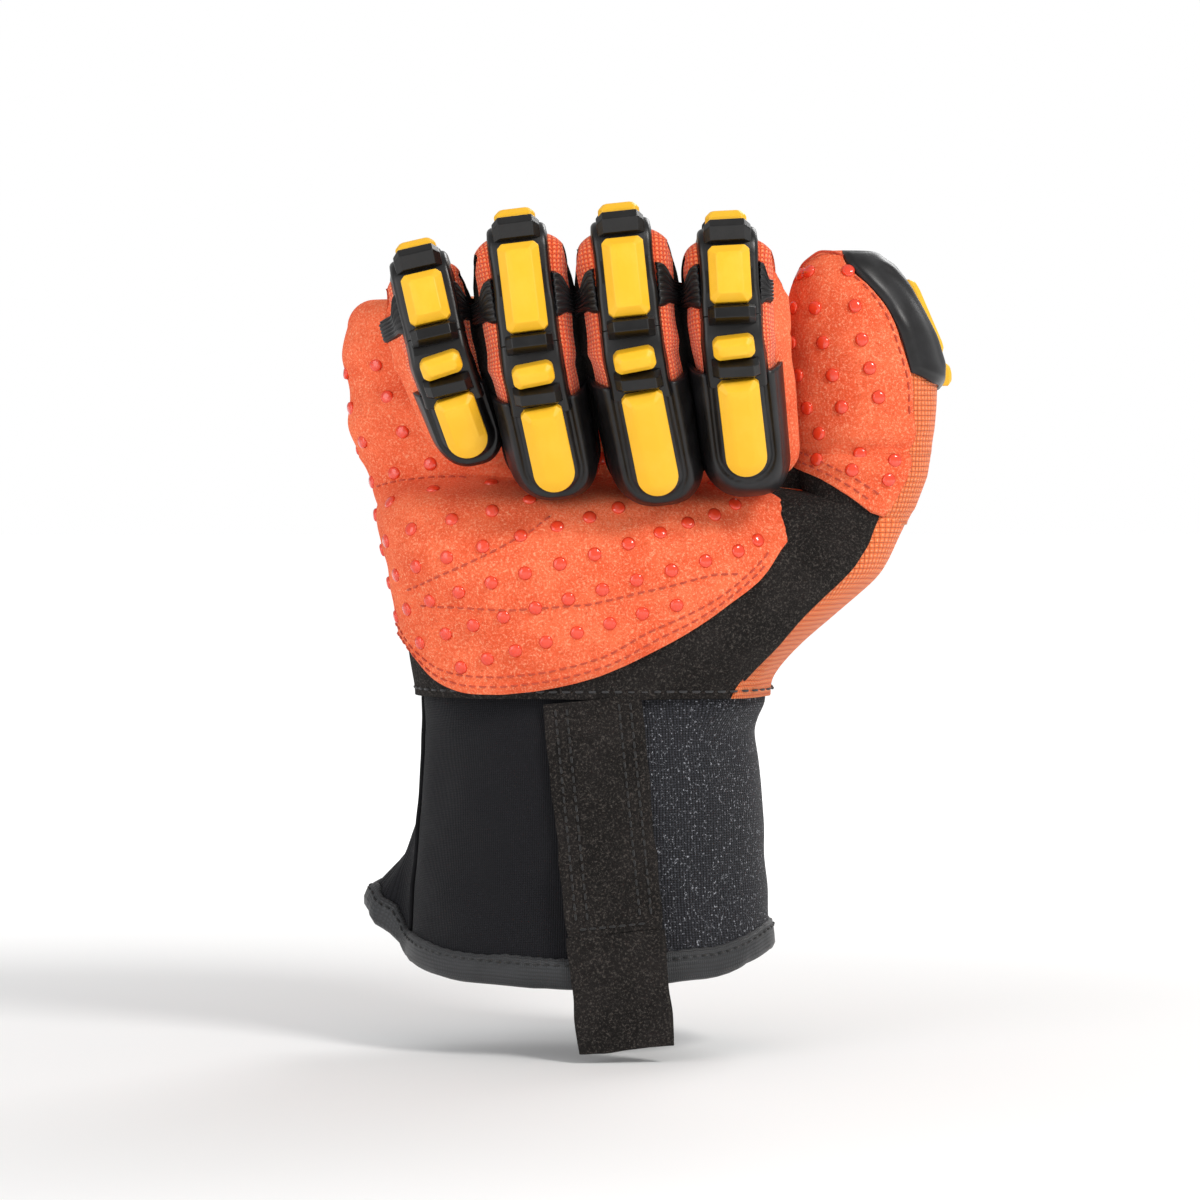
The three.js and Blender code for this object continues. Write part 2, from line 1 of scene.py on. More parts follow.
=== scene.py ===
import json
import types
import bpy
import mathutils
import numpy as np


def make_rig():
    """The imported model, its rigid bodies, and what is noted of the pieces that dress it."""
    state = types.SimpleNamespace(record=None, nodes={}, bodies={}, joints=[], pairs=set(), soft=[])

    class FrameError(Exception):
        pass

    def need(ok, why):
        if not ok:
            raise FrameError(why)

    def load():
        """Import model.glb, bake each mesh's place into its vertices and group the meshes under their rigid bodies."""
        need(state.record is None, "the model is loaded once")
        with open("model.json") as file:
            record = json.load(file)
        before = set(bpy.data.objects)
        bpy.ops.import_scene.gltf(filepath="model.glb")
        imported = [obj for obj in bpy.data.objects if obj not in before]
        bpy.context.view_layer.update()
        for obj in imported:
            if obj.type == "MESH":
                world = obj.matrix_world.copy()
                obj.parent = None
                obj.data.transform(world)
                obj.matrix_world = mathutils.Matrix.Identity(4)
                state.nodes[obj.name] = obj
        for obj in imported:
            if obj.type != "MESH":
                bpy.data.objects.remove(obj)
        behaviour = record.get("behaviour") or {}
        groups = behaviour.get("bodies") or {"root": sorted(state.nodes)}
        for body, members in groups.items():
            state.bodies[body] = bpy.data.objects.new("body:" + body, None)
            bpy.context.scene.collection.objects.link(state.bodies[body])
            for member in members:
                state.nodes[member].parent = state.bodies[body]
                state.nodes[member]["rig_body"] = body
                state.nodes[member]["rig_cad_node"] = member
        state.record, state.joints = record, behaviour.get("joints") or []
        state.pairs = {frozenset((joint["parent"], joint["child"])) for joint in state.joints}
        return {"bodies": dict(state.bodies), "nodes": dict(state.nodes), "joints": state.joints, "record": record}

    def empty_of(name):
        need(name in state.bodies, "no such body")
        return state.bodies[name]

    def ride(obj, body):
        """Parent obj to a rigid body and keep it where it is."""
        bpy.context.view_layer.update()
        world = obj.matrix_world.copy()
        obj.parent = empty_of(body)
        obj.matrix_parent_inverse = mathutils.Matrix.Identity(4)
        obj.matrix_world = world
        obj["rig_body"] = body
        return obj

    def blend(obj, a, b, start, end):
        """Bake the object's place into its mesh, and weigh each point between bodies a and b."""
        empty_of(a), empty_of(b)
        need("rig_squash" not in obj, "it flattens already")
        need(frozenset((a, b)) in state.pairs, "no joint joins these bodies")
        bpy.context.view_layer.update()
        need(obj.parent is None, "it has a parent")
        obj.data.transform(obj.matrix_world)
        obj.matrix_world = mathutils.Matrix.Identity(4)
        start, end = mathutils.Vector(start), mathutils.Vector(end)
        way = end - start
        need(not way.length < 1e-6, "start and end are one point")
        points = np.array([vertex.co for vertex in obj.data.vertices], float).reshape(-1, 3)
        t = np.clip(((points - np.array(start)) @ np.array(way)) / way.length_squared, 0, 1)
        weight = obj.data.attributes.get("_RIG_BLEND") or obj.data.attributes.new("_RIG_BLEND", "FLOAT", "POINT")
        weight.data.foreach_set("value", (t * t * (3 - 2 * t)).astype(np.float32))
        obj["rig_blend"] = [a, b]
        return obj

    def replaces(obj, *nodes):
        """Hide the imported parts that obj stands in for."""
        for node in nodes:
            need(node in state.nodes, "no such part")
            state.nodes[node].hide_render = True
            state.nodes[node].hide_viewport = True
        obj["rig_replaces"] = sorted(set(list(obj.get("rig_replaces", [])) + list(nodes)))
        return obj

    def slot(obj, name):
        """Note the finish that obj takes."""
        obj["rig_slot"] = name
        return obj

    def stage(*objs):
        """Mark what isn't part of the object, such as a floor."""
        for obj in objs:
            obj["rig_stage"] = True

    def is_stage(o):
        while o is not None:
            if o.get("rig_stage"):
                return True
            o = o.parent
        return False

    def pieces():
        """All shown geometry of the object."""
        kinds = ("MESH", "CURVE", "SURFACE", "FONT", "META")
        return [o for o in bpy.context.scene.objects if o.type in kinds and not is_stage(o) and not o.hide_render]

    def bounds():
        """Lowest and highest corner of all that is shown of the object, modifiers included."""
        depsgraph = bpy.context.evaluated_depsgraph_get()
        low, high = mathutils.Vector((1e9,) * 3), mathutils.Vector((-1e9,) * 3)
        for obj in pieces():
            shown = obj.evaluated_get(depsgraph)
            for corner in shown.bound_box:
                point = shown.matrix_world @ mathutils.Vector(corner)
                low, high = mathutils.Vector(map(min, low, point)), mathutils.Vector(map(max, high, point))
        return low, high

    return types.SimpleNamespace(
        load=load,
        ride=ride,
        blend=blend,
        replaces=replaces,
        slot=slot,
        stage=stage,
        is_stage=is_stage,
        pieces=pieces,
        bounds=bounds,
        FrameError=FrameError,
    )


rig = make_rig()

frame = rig.load()

# Impact work glove closed to a fist. Lengths inside the functions are millimetres measured from the
# centre of the wrist seam; place() turns them into metres in the shared frame.

import json
import math

import bpy
import bmesh
import numpy as np
from mathutils import Vector
from mathutils.bvhtree import BVHTree

CAD_BOUNDS = [list(corner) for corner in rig.bounds()]
JOINTS = {joint["name"]: joint for joint in frame["joints"]}
MM = 1000.0
WRIST = np.array(JOINTS["wrist_bend"]["pos_m"]) * MM
FINGERS = ("index", "middle", "ring", "pinky")


# ---------- frame helpers ----------

def place(points):
    """Millimetres from the wrist centre to metres in the shared frame."""
    return (np.asarray(points, float) + WRIST) / MM


def joint_point(name):
    return np.array(JOINTS[name]["pos_m"]) * MM - WRIST


def node_points(*names):
    """Vertices of CAD nodes, in millimetres from the wrist centre."""
    stacks = []
    for name in names:
        mesh = frame["nodes"][name].data
        co = np.empty(len(mesh.vertices) * 3)
        mesh.vertices.foreach_get("co", co)
        stacks.append(co.reshape(-1, 3) * MM - WRIST)
    return np.vstack(stacks)


def node_tree(*names):
    """Ray-castable surface of CAD nodes, in millimetres from the wrist centre."""
    verts, faces = [], []
    for name in names:
        mesh = frame["nodes"][name].data
        base = len(verts)
        verts += [Vector(p) for p in node_points(name)]
        faces += [tuple(base + i for i in polygon.vertices) for polygon in mesh.polygons]
    return BVHTree.FromPolygons(verts, faces)


def smoothstep(x, low, high):
    t = np.clip((np.asarray(x, float) - low) / (high - low), 0, 1)
    return t * t * (3 - 2 * t)


# ---------- smooth noise, the same on every run ----------

NOISE_TABLE = np.random.default_rng(11).uniform(-1, 1, (64, 64))


def noise(u, v, scale):
    """Smooth noise between -1 and 1 with features about `scale` wide."""
    u = np.asarray(u, float) / scale
    v = np.asarray(v, float) / scale
    iu, iv = np.floor(u).astype(int), np.floor(v).astype(int)
    fu, fv = u - iu, v - iv
    fu, fv = fu * fu * (3 - 2 * fu), fv * fv * (3 - 2 * fv)
    at = lambda a, b: NOISE_TABLE[a % 64, b % 64]
    low = at(iu, iv) * (1 - fu) + at(iu + 1, iv) * fu
    high = at(iu, iv + 1) * (1 - fu) + at(iu + 1, iv + 1) * fu
    return low * (1 - fv) + high * fv


# ---------- mesh builders ----------

def new_object(name, verts, faces, materials, smooth=True):
    mesh = bpy.data.meshes.new(name)
    mesh.from_pydata([tuple(v) for v in place(verts)], [], faces)
    for material in materials:
        mesh.materials.append(material)
    mesh.polygons.foreach_set("use_smooth", [smooth] * len(mesh.polygons))
    mesh.update()
    obj = bpy.data.objects.new(name, mesh)
    bpy.context.scene.collection.objects.link(obj)
    return obj


def set_uv(obj, uv_of_vertex):
    layer = obj.data.uv_layers.new(name="UVMap")
    loops = np.empty(len(obj.data.loops), int)
    obj.data.loops.foreach_get("vertex_index", loops)
    layer.data.foreach_set("uv", (np.asarray(uv_of_vertex)[loops] / MM).ravel())


def grid(name, points, uv, materials, zones=None, flip=False):
    """Open grid of quads. points is rows x columns x 3, uv rows x columns x 2 in millimetres along
    the fabric, and zones gives a material index for each quad."""
    rows, columns = points.shape[:2]
    index = np.arange(rows * columns).reshape(rows, columns)
    quads = np.stack([index[:-1, :-1], index[:-1, 1:], index[1:, 1:], index[1:, :-1]], -1).reshape(-1, 4)
    if flip:
        quads = quads[:, ::-1]
    obj = new_object(name, points.reshape(-1, 3), [tuple(q) for q in quads.tolist()], materials)
    set_uv(obj, uv.reshape(-1, 2))
    if zones is not None:
        obj.data.polygons.foreach_set("material_index", np.asarray(zones, int).ravel())
    return obj


def thicken(obj, thickness, offset=-1):
    solid = obj.modifiers.new("Thickness", "SOLIDIFY")
    solid.thickness = thickness / MM
    solid.offset = offset
    solid.use_even_offset = False
    return obj


def soften_edges(obj, width, segments=2):
    bevel = obj.modifiers.new("Edges", "BEVEL")
    bevel.width = width / MM
    bevel.segments = segments
    bevel.limit_method = "ANGLE"
    bevel.angle_limit = math.radians(25)
    bevel.harden_normals = True
    return obj


def ring_stack(rings):
    """Vertices and faces of a closed body through rings of equal length, with flat ends."""
    count = len(rings[0])
    verts = np.vstack(rings)
    faces = [tuple(range(count))[::-1], tuple(len(verts) - count + i for i in range(count))]
    for r in range(len(rings) - 1):
        for i in range(count):
            a, b = r * count + i, r * count + (i + 1) % count
            faces.append((a, b, b + count, a + count))
    return verts, faces


def join_bodies(bodies):
    """One vertex and face list out of many (verts, faces) pairs."""
    verts, faces, base = [], [], 0
    for body_verts, body_faces in bodies:
        verts.append(body_verts)
        faces += [tuple(base + i for i in face) for face in body_faces]
        base += len(body_verts)
    return np.vstack(verts), faces


def stitch_body(start, end, normal, radius):
    """One thread stitch: a short bead that dips into the fabric at both ends."""
    start, end, normal = (np.asarray(p, float) for p in (start, end, normal))
    along = end - start
    side = np.cross(along / np.linalg.norm(along), normal)
    rings = []
    for share, lift, thick in ((0, -0.5, 0.5), (0.15, 0.25, 0.95), (0.5, 0.45, 1), (0.85, 0.25, 0.95), (1, -0.5, 0.5)):
        centre = start + along * share + normal * radius * lift
        angles = np.arange(6) * math.pi / 3
        rings.append(centre + radius * thick * (
            np.cos(angles)[:, None] * side + np.sin(angles)[:, None] * normal))
    return ring_stack(rings)


def stitch_row(points, normals, pitch=2.65, fill=0.68, radius=0.26):
    """Stitches along a path given by points and outward normals."""
    points, normals = np.asarray(points, float), np.asarray(normals, float)
    steps = np.linalg.norm(np.diff(points, axis=0), axis=1)
    distance = np.concatenate([[0], np.cumsum(steps)])
    along = lambda d, values: np.array([np.interp(d, distance, values[:, k]) for k in range(3)])
    bodies = []
    for start in np.arange(pitch * 0.3, distance[-1] - pitch * fill, pitch):
        normal = along(start + pitch * fill / 2, normals)
        bodies.append(stitch_body(
            along(start, points), along(start + pitch * fill, points),
            normal / np.linalg.norm(normal), radius))
    return bodies


def dome_body(centre, normal, radius, height):
    """One moulded silicone dot: a low dome."""
    normal = np.asarray(normal, float) / np.linalg.norm(normal)
    helper = np.array([0.0, 0.0, 1.0]) if abs(normal[2]) < 0.9 else np.array([1.0, 0.0, 0.0])
    side = np.cross(normal, helper)
    side /= np.linalg.norm(side)
    other = np.cross(normal, side)
    angles = np.arange(14) * 2 * math.pi / 14
    circle = np.cos(angles)[:, None] * side + np.sin(angles)[:, None] * other
    stages = ((1.0, -0.6), (1.0, 0.12), (0.93, 0.45), (0.76, 0.74), (0.5, 0.92), (0.2, 1.0))
    return ring_stack([centre + circle * radius * share + normal * height * rise for share, rise in stages])


# ---------- materials ----------

class Nodes:
    """Small helper that adds shader nodes to one material and links them."""

    def __init__(self, name, roughness, colour=(0.5, 0.5, 0.5)):
        self.material = bpy.data.materials.new(name)
        self.material.use_nodes = True
        self.tree = self.material.node_tree
        self.shader = self.tree.nodes["Principled BSDF"]
        self.shader.inputs["Roughness"].default_value = roughness
        self.shader.inputs["Base Color"].default_value = (*colour, 1)
        self.surface = self.tree.nodes["Material Output"]

    def add(self, kind, **inputs):
        node = self.tree.nodes.new(kind)
        for key, value in inputs.items():
            self.link(node.inputs[key.replace("_", " ")], value)
        return node

    def link(self, socket, value):
        if isinstance(value, bpy.types.NodeSocket):
            self.tree.links.new(value, socket)
        else:
            socket.default_value = value

    def cloth_coordinates(self):
        return self.add("ShaderNodeUVMap").outputs["UV"]

    def object_coordinates(self):
        return self.add("ShaderNodeTexCoord").outputs["Object"]

    def noise(self, vector, scale, detail=2.0, rough=0.5):
        node = self.add("ShaderNodeTexNoise", Vector=vector, Scale=scale, Detail=detail, Roughness=rough)
        return node.outputs["Fac"]

    def math(self, operation, a, b=0.0, c=0.0):
        node = self.tree.nodes.new("ShaderNodeMath")
        node.operation = operation
        for socket, value in zip(node.inputs, (a, b, c)):
            self.link(socket, value)
        return node.outputs[0]

    def ramp(self, factor, low, high, out_low=0.0, out_high=1.0):
        node = self.tree.nodes.new("ShaderNodeMapRange")
        node.interpolation_type = "SMOOTHSTEP"
        for key, value in zip(("Value", "From Min", "From Max", "To Min", "To Max"),
                              (factor, low, high, out_low, out_high)):
            self.link(node.inputs[key], value)
        return node.outputs[0]

    def mix(self, factor, colour_a, colour_b):
        node = self.tree.nodes.new("ShaderNodeMix")
        node.data_type = "RGBA"
        self.link(node.inputs["Factor"], factor)
        for socket, value in ((node.inputs[6], colour_a), (node.inputs[7], colour_b)):
            if isinstance(value, bpy.types.NodeSocket):
                self.tree.links.new(value, socket)
            else:
                socket.default_value = (*value, 1)
        return node.outputs[2]

    def split(self, vector):
        node = self.add("ShaderNodeSeparateXYZ", Vector=vector)
        return node.outputs["X"], node.outputs["Y"], node.outputs["Z"]

    def bump(self, height, distance_mm, strength=1.0):
        node = self.add("ShaderNodeBump", Height=height, Distance=distance_mm / MM, Strength=strength)
        self.tree.links.new(node.outputs["Normal"], self.shader.inputs["Normal"])

    def set(self, **values):
        for key, value in values.items():
            self.link(self.shader.inputs[key.replace("_", " ")], value)


def linear(red, green, blue):
    """sRGB 0 to 255 to linear."""
    def channel(value):
        value /= 255
        return value / 12.92 if value <= 0.04045 else ((value + 0.055) / 1.055) ** 2.4
    return tuple(channel(value) for value in (red, green, blue))


def suede(name, dark, base, light, speckle):
    """Microfibre suede: short nap, mottled where it was brushed, with painted shade in the nap's pits, painted
    highlight on its tips and painted glints on fibre ends.
    """
    m = Nodes(name, 0.95)
    vector = m.object_coordinates()
    brushed = m.noise(vector, 70.0, 3.0, 0.6)
    nap = m.noise(vector, 1700.0, 4.0, 0.75)
    grain = m.noise(vector, 4200.0, 2.0, 0.6)
    colour = m.mix(m.ramp(brushed, 0.35, 0.68), dark, base)
    # painted shade where the nap is low, in the pits of its bump
    colour = m.mix(m.ramp(nap, 0.32, 0.47, 0.6, 0.0), colour, tuple(0.72 * c for c in dark))
    # painted highlight where the nap is high, on the tips of its bump
    colour = m.mix(m.ramp(nap, 0.5, 0.68), colour, light)
    # bright specks: painted glints on fibre ends
    colour = m.mix(m.ramp(grain, 0.6, 0.74, 0.0, speckle), colour, tuple(min(1, 1.35 * c + 0.04) for c in light))
    height = m.math("ADD", m.math("MULTIPLY", nap, 0.7), m.math("MULTIPLY", grain, 0.45))
    m.bump(height, 0.42, 0.9)
    m.set(Base_Color=colour, Sheen_Weight=0.22, Sheen_Roughness=0.45, Specular_IOR_Level=0.15)
    m.set(Sheen_Tint=(*light, 1))
    return m.material


def knit(name, cell_mm, hole_shade, base, light, sheen=0.15, depth=0.45):
    """Coarse rib knit: rows of rounded loops, with painted shade in the holes between them and a painted highlight on
    the loops' tops.
    """
    m = Nodes(name, 0.8)
    u, v, _ = m.split(m.cloth_coordinates())
    turns = math.pi * MM / cell_mm
    wobble = m.math("MULTIPLY", m.noise(m.cloth_coordinates(), 420.0, 1.0), 1.1)
    column = m.math("ABSOLUTE", m.math("SINE", m.math("ADD", m.math("MULTIPLY", u, turns), wobble)))
    slant = m.math("ADD", m.math("MULTIPLY", v, turns * 1.25), m.math("MULTIPLY", column, 1.3))
    row = m.math("ABSOLUTE", m.math("SINE", m.math("ADD", slant, wobble)))
    loops = m.math("MULTIPLY", m.math("POWER", column, 0.7), m.math("POWER", row, 0.6))
    fibres = m.noise(m.object_coordinates(), 3200.0, 2.0, 0.7)
    height = m.math("ADD", loops, m.math("MULTIPLY", fibres, 0.3))
    # painted shade in the holes between the loops
    colour = m.mix(m.ramp(loops, 0.02, 0.38), hole_shade, base)
    # painted highlight on the tops of the loops
    colour = m.mix(m.ramp(height, 0.75, 1.15, 0.0, 0.7), colour, light)
    m.bump(height, depth, 1.0)
    m.set(Base_Color=colour, Sheen_Weight=sheen, Sheen_Roughness=0.5, Specular_IOR_Level=0.25)
    return m.material


def basket_weave(name, cell_mm, hole_shade, base, light, depth=0.5):
    """Two-over-two weave of flat filament bundles, with painted shade in the gaps between them and a painted highlight
    on their raised tops.
    """
    m = Nodes(name, 0.6)
    u, v, _ = m.split(m.cloth_coordinates())
    per_mm = MM / cell_mm
    cell_u, cell_v = m.math("MULTIPLY", u, per_mm), m.math("MULTIPLY", v, per_mm)
    checker = m.math("MODULO", m.math("ABSOLUTE", m.math("ADD", m.math("FLOOR", cell_u), m.math("FLOOR", cell_v))), 2.0)
    over = m.math("GREATER_THAN", checker, 0.5)
    hump_u = m.math("SINE", m.math("MULTIPLY", m.math("FRACT", cell_u), math.pi))
    hump_v = m.math("SINE", m.math("MULTIPLY", m.math("FRACT", cell_v), math.pi))
    strands_u = m.math("ABSOLUTE", m.math("SINE", m.math("MULTIPLY", cell_u, 3 * math.pi)))
    strands_v = m.math("ABSOLUTE", m.math("SINE", m.math("MULTIPLY", cell_v, 3 * math.pi)))
    hump = m.math("MULTIPLY", m.math("POWER", hump_u, 0.6), m.math("POWER", hump_v, 0.6))
    strands = m.math("ADD", m.math("MULTIPLY", over, strands_u),
                     m.math("MULTIPLY", m.math("SUBTRACT", 1.0, over), strands_v))
    height = m.math("ADD", hump, m.math("MULTIPLY", strands, 0.35))
    # painted shade in the gaps between the bundles
    colour = m.mix(m.ramp(hump, 0.02, 0.4), hole_shade, base)
    # painted highlight on the raised bundles
    colour = m.mix(m.ramp(height, 0.95, 1.35, 0.0, 0.8), colour, light)
    m.bump(height, depth, 0.9)
    m.set(Base_Color=colour, Sheen_Weight=0.1, Specular_IOR_Level=0.4)
    return m.material


def fine_knit(name, dark, base, light, cell_mm, speckle, sheen):
    """Fine jersey face of the cuff's neoprene and charcoal knit."""
    m = Nodes(name, 0.85)
    u, v, _ = m.split(m.cloth_coordinates())
    turns = math.pi * MM / cell_mm
    columns = m.math("ABSOLUTE", m.math("SINE", m.math("MULTIPLY", u, turns)))
    slant = m.math("ADD", m.math("MULTIPLY", v, turns * 1.3), m.math("MULTIPLY", columns, 1.2))
    rows = m.math("ABSOLUTE", m.math("SINE", slant))
    stitch = m.math("MULTIPLY", columns, m.math("POWER", rows, 0.7))
    flecks = m.noise(m.object_coordinates(), 1500.0, 3.0, 0.8)
    colour = m.mix(m.ramp(stitch, 0.1, 0.7), dark, base)
    colour = m.mix(m.ramp(flecks, 0.57, 0.74, 0.0, speckle), colour, light)
    m.bump(m.math("ADD", stitch, m.math("MULTIPLY", flecks, 0.3)), 0.22, 0.8)
    m.set(Base_Color=colour, Sheen_Weight=sheen, Sheen_Roughness=0.4, Specular_IOR_Level=0.2)
    return m.material


def moulded_rubber(name, base, wear_and_highlight, roughness, grain=0.05):
    """Moulded thermoplastic rubber: satin skin, fine mould grain, random lighter patches of dust and light wear, and a
    painted highlight in the same lighter colour along convex edges.
    """
    m = Nodes(name, roughness)
    vector = m.object_coordinates()
    patches = m.noise(vector, 120.0, 4.0, 0.6)
    specks = m.noise(vector, 1400.0, 2.0, 0.7)
    geometry = m.add("ShaderNodeNewGeometry").outputs["Pointiness"]
    # convex edges take the lighter colour: a painted highlight along the edges
    edge = m.ramp(geometry, 0.52, 0.62, 0.0, 0.35)
    colour = m.mix(m.math("MULTIPLY", m.ramp(patches, 0.4, 0.75), 0.35), base, wear_and_highlight)
    colour = m.mix(edge, colour, wear_and_highlight)
    m.bump(m.math("ADD", m.noise(vector, 2200.0, 2.0), m.math("MULTIPLY", patches, 0.8)), grain, 0.5)
    rough = m.math("ADD", m.math("MULTIPLY", patches, 0.16), roughness - 0.08)
    rough = m.math("ADD", rough, m.ramp(specks, 0.66, 0.8, 0.0, 0.2))
    m.set(Base_Color=colour, Roughness=rough, Specular_IOR_Level=0.4)
    return m.material


def silicone(name, colour, rim_shade_colour):
    """Translucent glossy silicone, with painted shade that darkens each dot towards its outline as seen."""
    m = Nodes(name, 0.16)
    # the colour turns darker where the surface faces away from the view: painted shade round each dot's rim
    painted_rim_shade = m.add("ShaderNodeLayerWeight", Blend=0.45).outputs["Facing"]
    m.set(Base_Color=m.mix(painted_rim_shade, colour, rim_shade_colour), Coat_Weight=0.5, Coat_Roughness=0.08, Subsurface_Weight=0.25)
    m.set(Subsurface_Radius=(0.002, 0.0006, 0.0003), Subsurface_Scale=1.0)
    m.bump(m.noise(m.object_coordinates(), 700.0, 1.0), 0.08, 0.4)
    return m.material


def thread(name, base, light):
    """Twisted sewing thread."""
    m = Nodes(name, 0.75)
    twist = m.add("ShaderNodeTexWave", Vector=m.object_coordinates(), Scale=1600.0, Distortion=2.0)
    m.bump(twist.outputs["Fac"], 0.08, 0.8)
    m.set(Base_Color=m.mix(twist.outputs["Fac"], base, light), Sheen_Weight=0.2)
    return m.material


def binding_tape(name, base, light):
    """Satin woven tape with fine lengthwise ribs."""
    m = Nodes(name, 0.5)
    u, v, _ = m.split(m.cloth_coordinates())
    ribs = m.math("ABSOLUTE", m.math("SINE", m.math("MULTIPLY", u, math.pi * MM / 0.5)))
    weft = m.math("ABSOLUTE", m.math("SINE", m.math("MULTIPLY", v, math.pi * MM / 0.7)))
    uneven = m.noise(m.object_coordinates(), 160.0, 3.0, 0.6)
    colour = m.mix(m.math("MULTIPLY", m.math("MULTIPLY", ribs, weft), uneven), base, light)
    m.bump(m.math("ADD", m.math("MULTIPLY", ribs, weft), m.math("MULTIPLY", uneven, 2.0)), 0.12, 0.7)
    m.set(Base_Color=colour, Sheen_Weight=0.1, Specular_IOR_Level=0.5)
    return m.material


# light colour of each suede: painted highlight on the nap's tips, brightened further for painted glints
ORANGE_SUEDE = suede("orange suede", linear(238, 92, 54), linear(254, 116, 74), linear(255, 168, 128), 0.75)
BLACK_SUEDE = suede("black suede", linear(24, 22, 21), linear(35, 32, 31), linear(76, 71, 67), 0.6)
FOURCHETTE = suede("black fourchette", linear(14, 13, 13), linear(26, 24, 23), linear(50, 46, 44), 0.45)
# first colour of the knit: painted shade in its holes; last colour: painted highlight on its loops
FINGER_KNIT = knit("orange finger knit", 1.35, linear(200, 54, 24), linear(255, 96, 44), linear(255, 168, 116), 0.25,
                   0.32)
# first colour of the woven: painted shade in its gaps; last colour: painted highlight on its raised bundles
WOVEN = basket_weave("orange woven back", 1.25, linear(212, 82, 34), linear(255, 124, 58), linear(255, 190, 136))
NEOPRENE = fine_knit("neoprene face", linear(14, 14, 17), linear(29, 29, 33), linear(60, 60, 66), 0.55, 0.25, 0.08)
CUFF_KNIT = fine_knit("charcoal cuff knit", linear(20, 20, 22), linear(48, 49, 54), linear(190, 192, 200), 0.8, 1.0, 0.1)
BINDING = binding_tape("hem binding", linear(24, 25, 27), linear(54, 56, 60))
# second colour of each rubber: lighter dust and wear patches, and the painted highlight along its edges
BLACK_RUBBER = moulded_rubber("black rubber", linear(14, 13, 13), linear(38, 37, 38), 0.33)
CAP_RUBBER = moulded_rubber("black cap rubber", linear(18, 17, 18), linear(48, 48, 51), 0.38, 0.03)
YELLOW_RUBBER = moulded_rubber("yellow rubber", linear(243, 184, 32), linear(250, 198, 62), 0.44, 0.03)
# second colour of the dots: painted shade round their rims
DOTS = silicone("silicone dots", linear(240, 72, 40), linear(206, 44, 22))
ORANGE_THREAD = thread("orange thread", linear(178, 50, 24), linear(226, 90, 50))
GREY_THREAD = thread("grey thread", linear(22, 22, 23), linear(66, 66, 68))
BLACK_THREAD = thread("black thread", linear(12, 12, 12), linear(34, 34, 35))


# ---------- fingers ----------

FORWARD = np.array([0.0, -1.0, 0.0])
BACK = 1.5               # fabric over the joint line
REACH_BACK = 16.0        # the finger's tube runs on this far down the back of the hand
CORNER_REACH = (7.0, 3.4, 3.0)
SQUARENESS = 2.7
SLEEVE_TUCK = 1.8        # length of a sleeve that is tucked into the one before it
COLUMNS = 72
CREASE_GAP = 0.25
CREASE_SPREAD = (0.2, 0.16, 0.03)      # how fast the fabric of two bones parts inside a bend
TIP_ROUND = 9.0
CAP_START = 7.8
CAP_LIFT = 0.5
CAP_WALL = 1.2
PAD_HALF = 5.0
RIDGE_HALF = 5.7
# How far the black fabric between the fingers bulges on the left and right of each finger
SIDE_BULGE = {"index": (2.6, 4.6), "middle": (3.2, 3.6), "ring": (3.2, 3.2), "pinky": (3.6, 3.2)}
OUTER_SIDE = {"index": 1, "pinky": -1}      # these sides are palm suede, and bulge lower down
# Sideways run of the last bone per millimetre of its length: the fingertips fan out a little
TIP_FAN = {"index": 0.07, "middle": 0.09, "ring": 0.08, "pinky": 0.1}
TIP_PAD_SHORTFALL = {"index": 7.0, "middle": 4.5, "ring": 3.7, "pinky": 3.2}


def unit(vector):
    return np.asarray(vector, float) / np.linalg.norm(vector)


